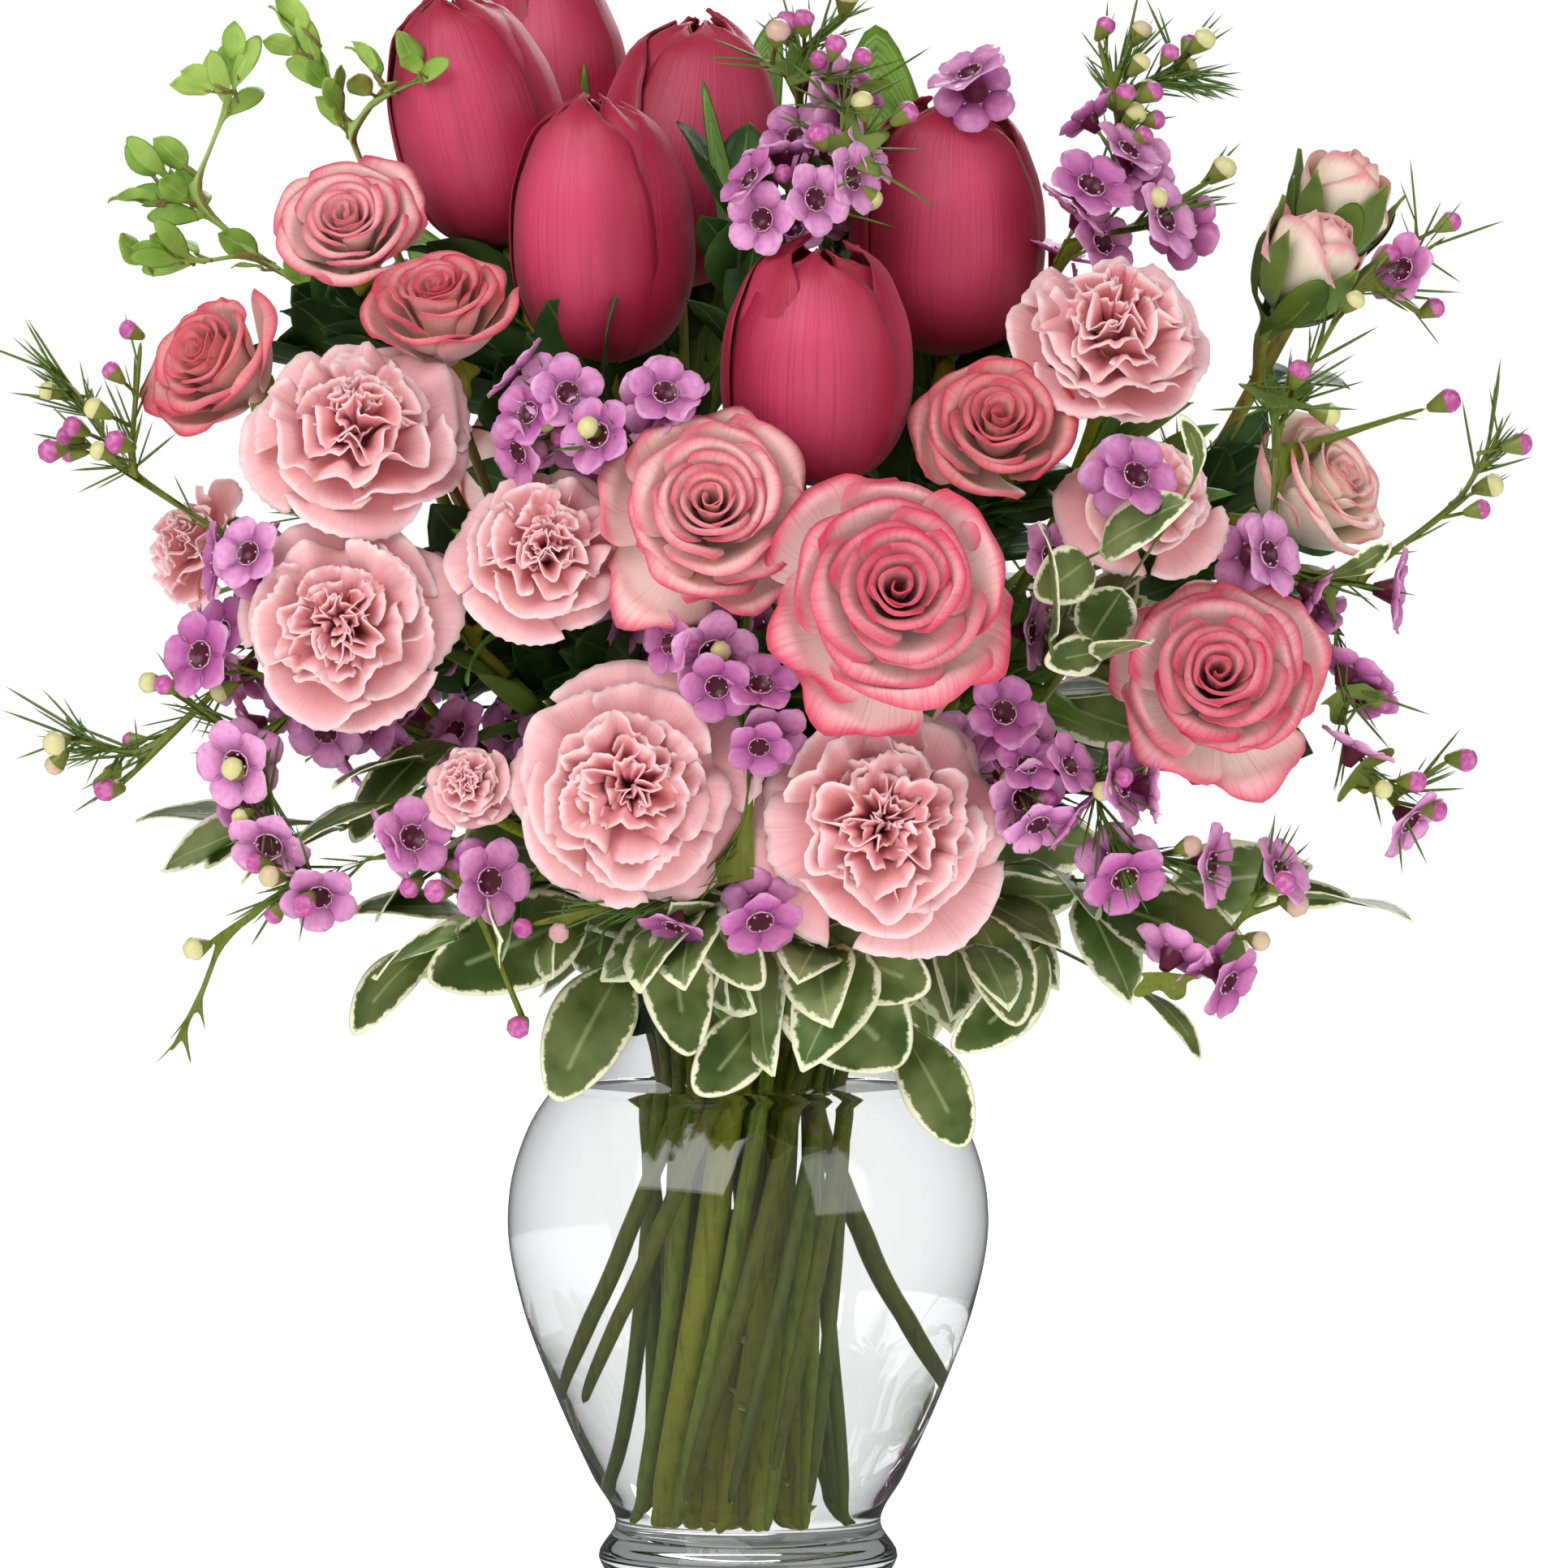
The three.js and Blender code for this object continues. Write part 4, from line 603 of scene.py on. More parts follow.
def whorl(shapes, count, turn, reach=1.0):
    """Single petals set out in a spiral from the heart, with shapes that run between the given ones."""
    shares, radii, heights, halves = (np.array(column) for column in zip(*shapes))
    rings = []
    for k in range(count):
        out = reach * k / (count - 1)
        radius, height = (tuple(np.interp(out, shares, row) for row in rows.T) for rows in (radii, heights))
        half = float(np.interp(out, shares, halves))
        rounding, point = (0.3, 1.3) if out > POINTED_FROM else (0.16, 2)
        rings.append({
            "count": 1, "turn": turn + k * GOLDEN_TURN, "radius": radius, "height": height,
            "half": (0.6 * half, half, 1.05 * half, half, 0.86 * half), "layer": 1 - out,
            "rounding": 0.1 + rounding * out, "point": point, "tuck": 0.03 + 0.03 * out,
            "loose": 0.03 + 0.05 * out, "stray": 0.25, "lean": 0.03 + 0.06 * out, "roll": 0.12 * out,
            "thick": 0.4, "across": 18, "along": 16,
            "waves": ((2.4, 0.012 + 0.045 * out), (6, 0.008 + 0.025 * out)),
        })
    return rings[::-1]


FRILL = {"thick": 0.4, "across": 24, "along": 12, "rounding": 0.16, "teeth": 6, "lean": 0.16}
FRILL_ROW = ("count", "turn", "layer", "loose", "stray", "radius", "height", "half", "waves")
CARNATION_RINGS = [{**FRILL, **dict(zip(FRILL_ROW, row))} for row in (
    (5, 0.7, 0.0, 0.14, 0.28, (0.08, 0.4, 0.74, 0.95, 1.07), (0.2, 0.24, 0.29, 0.32, 0.28),
     (0.3, 0.44, 0.64, 0.76, 0.78), ((3.2, 0.09), (7, 0.03), (17, 0.01))),
    (5, 0.1, 0.12, 0.14, 0.28, (0.07, 0.34, 0.62, 0.82, 0.93), (0.24, 0.36, 0.47, 0.54, 0.53),
     (0.3, 0.44, 0.64, 0.78, 0.8), ((3.6, 0.11), (8, 0.05), (17, 0.014))),
    (6, 0.5, 0.35, 0.14, 0.28, (0.06, 0.28, 0.48, 0.64, 0.74), (0.28, 0.48, 0.65, 0.76, 0.78),
     (0.4, 0.5, 0.66, 0.76, 0.76), ((4.2, 0.14), (9, 0.07), (19, 0.02))),
    (7, 0.2, 0.6, 0.2, 0.35, (0.05, 0.2, 0.34, 0.46, 0.55), (0.3, 0.56, 0.77, 0.9, 0.94),
     (0.5, 0.6, 0.7, 0.76, 0.76), ((4.2, 0.12), (9, 0.06), (19, 0.02))),
    (8, 0.9, 0.8, 0.3, 0.5, (0.03, 0.12, 0.2, 0.28, 0.35), (0.32, 0.6, 0.84, 0.98, 1.03),
     (0.5, 0.66, 0.8, 0.9, 0.9), ((3.8, 0.12), (8, 0.06), (19, 0.02))),
    (5, 0.4, 1.0, 0.4, 0.5, (0.02, 0.05, 0.09, 0.13, 0.17), (0.34, 0.62, 0.86, 1.02, 1.07),
     (0.8, 1.0, 1.1, 1.2, 1.2), ((3.5, 0.09), (8, 0.05), (19, 0.02))),
)]
SEED_STEP = 31
CONE_SIDES = 12


def bloom(node, facing, rings, size, seed, material, turn=0.0, wide=1.0):
    """A bloom from its rings of petals round a small cone, set on its node's seat."""
    build = Build()
    for k, ring in enumerate(rings):
        petals(build, {**ring, "turn": ring["turn"] + turn}, size, seed * SEED_STEP + k, wide)
    base = rings[0]["radius"][0] * size + 1.2
    cone = [(0, 0.1), (base * 0.8, 0.1), (base, 0.3 * size), (0, 0.45 * size)]
    lathe(build, cone, CONE_SIDES, along=0.0, across=0.0, layer=1.0, tone=0.5)
    name = node + "_petals"
    deliver(name, build.mesh(name, seat_of(node, facing)), node, material)


# ---- Stems and leaves, carried over from the model ----
MERGE = 0.002 * MM
LEAF_EDGE_ANGLE = 2.4
FLORET_POINTS = 15
BUD_POINTS = 4
BUD_SLOPE = 3.69 * MM
BUD_SLACK = 0.1 * MM


def take_heads(bm, heads):
    """Takes the florets and buds off a spray's twigs, and notes where they sat and faced."""
    gone = []
    for vert in bm.verts:
        ring = [edge.other_vert(vert) for edge in vert.link_edges]
        if len(ring) == FLORET_POINTS:
            facing = sum((face.normal for face in vert.link_faces), Vector()).normalized()
            heads["florets"].append((vert.co.copy(), facing))
        elif len(ring) == BUD_POINTS and all(
                abs((v.co - vert.co).length - BUD_SLOPE) < BUD_SLACK for v in ring):
            middle = sum((v.co for v in ring), Vector()) / len(ring)
            heads["buds"].append((middle, (vert.co - middle).normalized()))
        else:
            continue
        gone.extend([vert, *ring])
    bmesh.ops.delete(bm, geom=list(set(gone)), context="VERTS")
    bmesh.ops.holes_fill(bm, edges=[edge for edge in bm.edges if edge.is_boundary], sides=6)


def refined(node, level, swell, heads=None):
    """
    A smooth copy of a node. Its point attributes are leaf (1 on leaves), rim (1 at a leaf's edge,
    0 on its midrib) and wide (half the leaf's width there, in metres).
    """
    bm = bmesh.new()
    bm.from_mesh(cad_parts[node].data)
    bmesh.ops.remove_doubles(bm, verts=bm.verts, dist=MERGE)
    if heads:
        take_heads(bm, heads)
    crease = bm.edges.layers.float.new("crease_edge")
    for name in ("leaf", "rim", "wide"):
        bm.verts.layers.float.new(name)
    leaf, rim, wide = (bm.verts.layers.float[name] for name in ("leaf", "rim", "wide"))
    sharp = [edge for edge in bm.edges
             if len(edge.link_faces) == 2 and edge.calc_face_angle(0) > LEAF_EDGE_ANGLE]
    edge_verts = {vert for edge in sharp for vert in edge.verts}
    for edge in sharp:
        edge[crease] = 1.0
    for vert in edge_verts:
        vert[leaf] = vert[rim] = 1.0
        others = [e.other_vert(vert) for e in vert.link_edges if e.other_vert(vert) not in edge_verts]
        vert[wide] = max([(o.co - vert.co).length for o in others], default=0.0)
        for other in others:
            other[leaf] = 1.0
            other[wide] = max(other[wide], (other.co - vert.co).length)
    data = bpy.data.meshes.new(node + "_smooth")
    bm.to_mesh(data)
    bm.free()
    piece = link(node + "_smooth", data)
    smooth = piece.modifiers.new("smooth", "SUBSURF")
    smooth.levels = smooth.render_levels = level
    result = settled(piece)
    swell_stems(result, swell)
    result.shade_smooth()
    return result


def swell_stems(data, amount):
    """Gives back the thickness that smoothing takes from stems and twigs."""
    normals = np.empty(len(data.vertices) * 3)
    data.vertex_normals.foreach_get("vector", normals)
    leaf = np.empty(len(data.vertices))
    data.attributes["leaf"].data.foreach_get("value", leaf)
    share = 1 - np.clip(leaf, 0, 1)
    points = places_of(data) + normals.reshape(-1, 3) * (amount * MM * share)[:, None]
    data.vertices.foreach_set("co", points.reshape(-1))
    data.update()


# ---- Repeats set out by geometry nodes ----
SCATTER_INPUTS = (
    ("Geometry", "Geometry"), ("Shape", "Object"), ("Scale", "Float"), ("Spin", "Float"), ("Seed", "Int"),
    ("Finish", "Material"),
)


def scatter_tree(name):
    """Sets a shape at each point, turned to the point's facing, spun at random and sized by its size."""
    tree = bpy.data.node_groups.new(name, "GeometryNodeTree")
    for label, kind in SCATTER_INPUTS:
        tree.interface.new_socket(label, in_out="INPUT", socket_type=f"NodeSocket{kind}")
    tree.interface.new_socket("Geometry", in_out="OUTPUT", socket_type="NodeSocketGeometry")
    nodes = Nodes(tree)
    source = nodes.add("NodeGroupInput").outputs
    points, shape, scale, spin, seed, finish = (Value(nodes, source[label]) for label, _ in SCATTER_INPUTS)
    fact = "GeometryNodeInputNamedAttribute"
    named = lambda kind, label: nodes.out(fact, {"data_type": kind}, {"Name": label})
    facing, upper = named("FLOAT_VECTOR", "facing"), named("FLOAT_VECTOR", "upper")
    align = "FunctionNodeAlignRotationToVector"
    aim = nodes.out(align, {"axis": "Z"}, {"Vector": facing})
    level = nodes.out(align, {"axis": "Y", "pivot_axis": "Z"}, {"Vector": upper, "Rotation": aim})
    chance = nodes.out("FunctionNodeRandomValue", {"data_type": "FLOAT"}, {"Seed": seed}, 1)
    turn = nodes.out("FunctionNodeAxisAngleToRotation", {}, {"Axis": (0, 0, 1), "Angle": chance * spin})
    rotation = nodes.out("FunctionNodeRotateRotation", {"rotation_space": "LOCAL"},
                         {"Rotation": level, "Rotate_By": turn})
    solid = nodes.out("GeometryNodeObjectInfo", {}, {"Object": shape}, "Geometry")
    placed = nodes.out("GeometryNodeInstanceOnPoints", {}, {
        "Points": points, "Instance": solid, "Rotation": rotation, "Scale": named("FLOAT", "size") * scale})
    real = nodes.out("GeometryNodeRealizeInstances", {}, {"Geometry": placed})
    dressed = nodes.out("GeometryNodeSetMaterial", {}, {"Geometry": real, "Material": finish})
    nodes.add("NodeGroupOutput", {}, {"Geometry": dressed})
    return tree


def scatter(name, spots, shape, material, seed, node, scale=1.0, spin=6.28):
    """A piece that repeats a shape at spots: (place, facing, size) or (place, facing, size, upper)."""
    data = bpy.data.meshes.new(name)
    data.from_pydata([tuple(spot[0]) for spot in spots], [], [])
    chance = random.Random(seed)
    write(data, "facing", [spot[1] for spot in spots], "FLOAT_VECTOR")
    write(data, "upper", [spot[3] if len(spot) > 3 else UP for spot in spots], "FLOAT_VECTOR")
    write(data, "size", [spot[2] for spot in spots])
    write(data, "tone", [chance.random() for _ in spots])
    piece = link(name, data)
    tree = bpy.data.node_groups.get("scatter") or scatter_tree("scatter")
    modifier = piece.modifiers.new("scatter", "NODES")
    modifier.node_group = tree
    values = {"Shape": shape, "Scale": scale, "Spin": spin, "Seed": seed, "Finish": material}
    for item in tree.interface.items_tree:
        if item.item_type == "SOCKET" and item.in_out == "INPUT" and item.name in values:
            modifier[item.identifier] = values[item.name]
    result = settled(piece)
    result.name = name
    result.shade_smooth()
    deliver(name, result, node)


# ---- Shapes that repeat: florets, buds, needles, leaves and thorns ----
ON_STEM = {"leaf": 0.0, "rim": 0.0, "wide": 0.0}
FLORET_CUP = ((0, -3.2), (1.4, -2.9), (3.2, 1.4), (3.6, 2.5), (3.1, 2.6), (2.2, 1.2), (0, 0.6))
BUD_OUTLINE = (
    (0, -4.2), (0.9, -3.8), (1.9, -1.6), (2.5, 0.0), (2.75, 0.5), (2.7, 1.5), (2.0, 2.7), (1.0, 3.2),
    (0, 3.3),
)
NEEDLE_LENGTH = 16
NEEDLE_OUTLINE = ((0, -0.8), (0.34, -0.4), (0.4, 5), (0.3, 12), (0, NEEDLE_LENGTH))
THORN_OUTLINE = ((0, -0.8), (1.1, -0.5), (0.7, 0.5), (0.25, 1.4), (0, 1.9))
ANTHER = np.array([(1, 0, -0.5), (-0.5, 0.87, -0.5), (-0.5, -0.87, -0.5), (0, 0, 0.9)]) * 0.5
ANTHER_FACES = [[0, 2, 1], [0, 1, 3], [1, 2, 3], [2, 0, 3]]
LEAF_STALK = 4.0


def turned_shape(name, outline, sides, **facts):
    build = Build()
    lathe(build, outline, sides, **facts)
    return link(name, build.mesh(name))


def floret_shape():
    """A waxflower: five round petals round a dark cup with a ring of anthers."""
    build = Build()
    u, v = net(3, 4)
    side = u * 4.7 * np.sqrt(np.clip(1 - (2 * v - 1.05) ** 2 * 0.8, 0.02, 1))
    out = 2.8 + 7.9 * v - 0.9 * u ** 2 * v
    rise = 1.6 + 2.6 * v ** 1.5 + 0.9 * u ** 2 - 1.2 * v ** 4
    for k in range(5):
        cos, sin = math.cos(k / 5 * FULL_TURN), math.sin(k / 5 * FULL_TURN)
        shell(build, grid_of(out * cos - side * sin, out * sin + side * cos, rise), 0.5, zone=0.0, along=v)
    lathe(build, FLORET_CUP, 10, zone=(2, 2, 2, 1, 2, 2, 2), along=0.0)
    for k in range(5):
        turn = (k + 0.5) / 5 * FULL_TURN
        place = np.array([2.7 * math.cos(turn), 2.7 * math.sin(turn), 2.9])
        build.add(ANTHER + place, ANTHER_FACES, zone=1.0, along=0.0)
    return link("floret_shape", build.mesh("floret_shape"))


def leaf_shape(name, length, width, arch, teeth=0.0, blunt=0.85):
    """A stalked leaf along Z that bows, with its upper side towards Y."""
    build = Build()
    u, v = net(4, 8)
    half = width / 2 * (np.clip(np.sin(math.pi * v ** blunt), 0, 1) ** 0.75 + 0.03)
    half = half * (1 + teeth * ((v * 8) % 1 - 0.5) * np.abs(u))
    side = u * half
    out = arch * length * np.sin(math.pi * v * 0.8) + 0.12 * np.abs(side) + 0.4 * np.sin(9 * v + u)
    grid = grid_of(side, out, LEAF_STALK - 0.5 + (length - LEAF_STALK) * v)
    shell(build, grid, 0.5, leaf=1.0, rim=np.abs(u), wide=half * MM)
    lathe(build, [(0, -1.5), (0.6, -1.2), (0.5, LEAF_STALK), (0, LEAF_STALK + 1.5)], 4, **ON_STEM)
    return link(name, build.mesh(name))


def stalked_shape(name, shape, length, foot):
    """A floret or bud on its own stalk along Z, which starts at the origin."""
    data = shape.data.copy()
    data.name = name
    data.transform(Matrix.Translation((0, 0, length * MM)))
    build = Build()
    stalk = [(0, -1.0), (0.55, -0.8), (0.5, length * 0.6), (0.8, length - foot), (0, length - foot + 0.8)]
    lathe(build, stalk, 5, zone=3.0, along=0.0)
    bm = bmesh.new()
    bm.from_mesh(data)
    bm.from_mesh(build.mesh(name + "_stalk"))
    bm.to_mesh(data)
    bm.free()
    return link(name, data)


# ---- Settings ----
class BouquetSettings(bpy.types.PropertyGroup):
    tulip_colour: bpy.props.FloatVectorProperty(
        name="Tulip colour", description="Main colour of the tulips", subtype="COLOR",
        default=tint("c63a5e")[:3], min=0, max=1)
    wax_colour: bpy.props.FloatVectorProperty(
        name="Waxflower colour", description="Main colour of the waxflower petals", subtype="COLOR",
        default=tint("e69ccf")[:3], min=0, max=1)
    floret_scale: bpy.props.FloatProperty(
        name="Floret size", description="Size of the waxflower florets over their usual size",
        default=1.0, min=0.5, max=1.5)
    vase_sides: bpy.props.IntProperty(
        name="Vase sides", description="Number of steps round the vase", default=128, min=24, max=256)


def settings():
    return bpy.context.scene.bouquet_settings


class BOUQUET_OT_tulips(bpy.types.Operator):
    """Makes the tulips' petals"""
    bl_idname = "bouquet.tulips"
    bl_label = "Tulips"

    def execute(self, context):
        material = tulip_finish(settings().tulip_colour)
        for k, (name, (facing, height, turn, wide)) in enumerate(TULIPS.items()):
            bloom(f"tulip_{name}", facing, TULIP_RINGS, height, SEEDS["tulip"] + k, material,
                  turn, wide)
        return {"FINISHED"}


# Colours of the base, middle, edge, heart and deep shade, and where the edge's colour starts.
ROSE_COLOURS = {
    "salmon": ("ffece2", "fbc2bc", "de4068", "f8b4ae", "da7078", 0.82),
    "coral": ("fde2d6", "f49e9c", "d42850", "f29292", "ca4a58", 0.77),
    "hot": ("fff4ea", "fdbcc0", "d8104e", "f78e9e", "d03c64", 0.75),
    "cream": ("fff8e6", "feead6", "ea6480", "fcd2c2", "f2b8a6", 0.86),
}


class BOUQUET_OT_roses(bpy.types.Operator):
    """Makes the petals of the roses and rosebuds, and the rosebuds' sepals"""
    bl_idname = "bouquet.roses"
    bl_label = "Roses"

    def execute(self, context):
        finishes = {kind: petal_finish(f"rose_{kind}", *colours) for kind, colours in ROSE_COLOURS.items()}
        for k, (name, (facing, radius, kind)) in enumerate(ROSES.items()):
            count, reach, growth = (27, 1.0, 1) if radius > LARGE_ROSE else (22, 0.86, 1.06)
            bloom(f"rose_{name}", facing, whorl(ROSE_SHAPES, count, 0.7 * k, reach), radius * growth,
                  SEEDS["rose"] + k, finishes[kind])
        bud = petal_finish("rosebud", "f6eecc", "fbe2d2", "e88a96", "f8d4c4", "f0bcb0", 0.87)
        sepal = petal_finish("sepal", "6f8a34", "5f7c2e", "8c9a44", "5f7c2e", "44601f", 0.88)
        for k, (name, (facing, radius)) in enumerate(ROSEBUDS.items()):
            node, piece = f"rose_{name}", f"rose_{name}_sepals"
            rings = whorl(BUD_SHAPES, BUD_PETALS, 1.3 * k)
            bloom(node, facing, rings, radius, SEEDS["rosebud"] + k, bud)
            build = Build()
            petals(build, SEPAL_RING, radius, SEEDS["sepals"] + k)
            deliver(piece, build.mesh(piece, seat_of(node, facing)), node, sepal)
        return {"FINISHED"}


class BOUQUET_OT_carnations(bpy.types.Operator):
    """Makes the carnations' ruffled petals"""
    bl_idname = "bouquet.carnations"
    bl_label = "Carnations"

    def execute(self, context):
        material = petal_finish("carnation", "f2a8aa", "fac6c8", "fee4e4", "ee9096", "da747c", 0.88, 0.6)
        for k, (name, (facing, radius)) in enumerate(CARNATIONS.items()):
            bloom(f"carnation_{name}", facing, CARNATION_RINGS, radius, SEEDS["carnation"] + k, material,
                  0.9 * k)
        return {"FINISHED"}


# Prefix of the nodes, slot, steps of smoothing, thickness given back, and the finish's values.
GREENS = (
    ("tulip_stem", "tulip_green", 2, 0.3,
     ("tulip_green", "46701f", "76a038", "a9c468", "a0a414", None, 0.0, 22.0)),
    ("rose_stem", "leaf_green", 2, 0.25, ("rose_green", "3f5a1a", "687f28", "8ea858", "94941a")),
    ("carnation_stem", "leaf_green", 2, 0.25, ("carnation_green", "4c7028", "74903c", "9cb37c", "8c9c28")),
    ("pittosporum", "grey_leaf", 3, 0.25,
     ("pittosporum", "3b5119", "727f44", "b9c78c", "747a1c", "f2f0cc", 2.6 * MM)),
    ("light_twig", "light_leaf", 2, 0.3, ("light_green", "7ba23c", "a3c25c", "c4d98a", "8c7a45")),
)
THORNS = 12
# Heights between which thorns grow, in metres.
THORNS_FROM, THORNS_TO = 0.015, 0.13
STEEPEST_THORN = 0.6


class BOUQUET_OT_greens(bpy.types.Operator):
    """Makes the stems and leaves of the tulips, roses, carnations, pittosporum and light twigs"""
    bl_idname = "bouquet.greens"
    bl_label = "Stems and leaves"

    def execute(self, context):
        for prefix, slot, level, swell, colours in GREENS:
            material = leaf_finish(*colours)
            for node in nodes_of(prefix):
                deliver(node + "_green", refined(node, level, swell), node, material)
                if prefix == "rose_stem":
                    self.thorns(node, material, slot)
        return {"FINISHED"}

    def thorns(self, node, material, slot):
        """Small thorns and knots down a rose's stems."""
        chance = random.Random(node)
        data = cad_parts[node].data
        faces = [face for face in data.polygons
                 if THORNS_FROM < face.center.z < THORNS_TO and abs(face.normal.z) < STEEPEST_THORN]
        spots = []
        for face in chance.sample(faces, min(len(faces), THORNS)):
            low, high = sorted((chance.random(), chance.random()))
            corners = [data.vertices[i].co for i in face.vertices]
            place = sum((co * share for co, share in zip(corners, (low, high - low, 1 - high))), Vector())
            spots.append((place, (face.normal + UP * 0.4).normalized(), chance.uniform(0.6, 1.2)))
        thorn = turned_shape("thorn_shape", THORN_OUTLINE, 5, **ON_STEM)
        scatter(node + "_thorns", spots, thorn, material, SEEDS["thorns"], node)
        bpy.data.objects.remove(thorn)


LEAF_COLOURS = {
    "dark": ("rose_leaf", "24401a", "3f6328", "7d9a4c", "5d7434"),
    "fresh": ("fresh_leaf", "4f7a2c", "7a9f42", "b4c978", "7d9138"),
    "light": ("light_leaf", "7ba23c", "a9c85c", "c8dc90", "8c7a45"),
    "edged": ("edged_leaf", "4a6428", "8a9660", "c8d29f", "6f7a3c", "eceecb", 2.0 * MM),
}
# Prefix of the nodes, slot, finish, leaves a node, reach, lowest place, and the leaf's shape.
FILLINGS = (
    ("rose_stem", "leaf_green", "dark", 60, 0.97, 0.148, ("rose_leaf", 30, 17, 0.12, 0.1)),
    ("carnation_stem", "leaf_green", "fresh", 18, 0.95, 0.148, ("narrow_leaf", 34, 8, 0.14)),
    ("tulip_stem", "tulip_green", "dark", 40, 0.92, 0.148, ("inner_leaf", 36, 19, 0.1, 0.08)),
    ("pittosporum", "grey_leaf", "edged", 22, 1.3, 0.148, ("edged_leaf", 35, 18, 0.1, 0.0, 0.75)),
    ("light_twig", "light_leaf", "light", 22, 1.5, 0.27, ("light_leaf", 15, 7, 0.12)),
)
TRIES_A_LEAF = 60
# Shares of a leaf's length that are tested, the gap that they keep, and the room that its middle takes.
LEAF_LINE = (0.35, 0.65, 1)
LEAF_GAP = 1.0 * MM
LEAF_ROOM = 2.5 * MM


class BOUQUET_OT_filling(bpy.types.Operator):
    """Makes the small leaves that fill the bouquet between its blooms and under them"""
    bl_idname = "bouquet.filling"
    bl_label = "Filling leaves"

    def execute(self, context):
        room = Room()
        finishes = {kind: leaf_finish(*colours) for kind, colours in LEAF_COLOURS.items()}
        for prefix, slot, kind, count, reach, lowest, leaf in FILLINGS:
            shape = leaf_shape(*leaf)
            for k, node in enumerate(nodes_of(prefix)):
                chance = random.Random(SEEDS["places"] + k)
                spots = self.places(node, room, chance, leaf[1] * MM, count, reach, lowest)
                if spots:
                    scatter(node + "_filling", spots, shape, finishes[kind], SEEDS["filling"] + k, node,
                            spin=0.8)
            bpy.data.objects.remove(shape)
        return {"FINISHED"}

    def places(self, node, room, chance, length, count, reach, lowest):
        """Places on a node's stems for leaves that stay clear of the blooms."""
        faces = [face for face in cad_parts[node].data.polygons if face.center.z > lowest]
        spots = []
        for _ in range(count * TRIES_A_LEAF):
            face = chance.choice(faces)
            out = away(face.center, 0.9)
            facing = (out + drift(chance) * 0.7).normalized()
            size = chance.uniform(0.7, 1.05)
            line = [face.center + facing * length * size * share for share in LEAF_LINE]
            if depth_in(line[-1]) > reach or room.gap(np.array(line)) < LEAF_GAP:
                continue
            room.take(np.array(line[1]), LEAF_ROOM)
            spots.append((face.center.copy(), facing, size, (out + UP * 0.6).normalized()))
            if len(spots) == count:
                break
        return spots


# More florets and buds on stalks: tries, stray, distance and free room of their middles, room that they
# take, least and most distance from others, sizes, most in a spray, and how far out they may be.
GROWTH = {
    "stalked_florets": (900, 0.5, 15, 4, 4, 11, 34, (0.7, 0.9), 30, 1.04),
    "stalked_buds": (300, 0.6, 10, 3.5, 3, 0, math.inf, (0.8, 1.05), 12, math.inf),
}
TWIGS_FROM = 0.158
NEEDLES = 130
NEEDLE_TRIES = 900
NEEDLE_GAP = 0.5 * MM
# Inside this depth, most needles are left off.
NEEDLE_DEPTH = 0.85
NEEDLES_OFF = 0.75


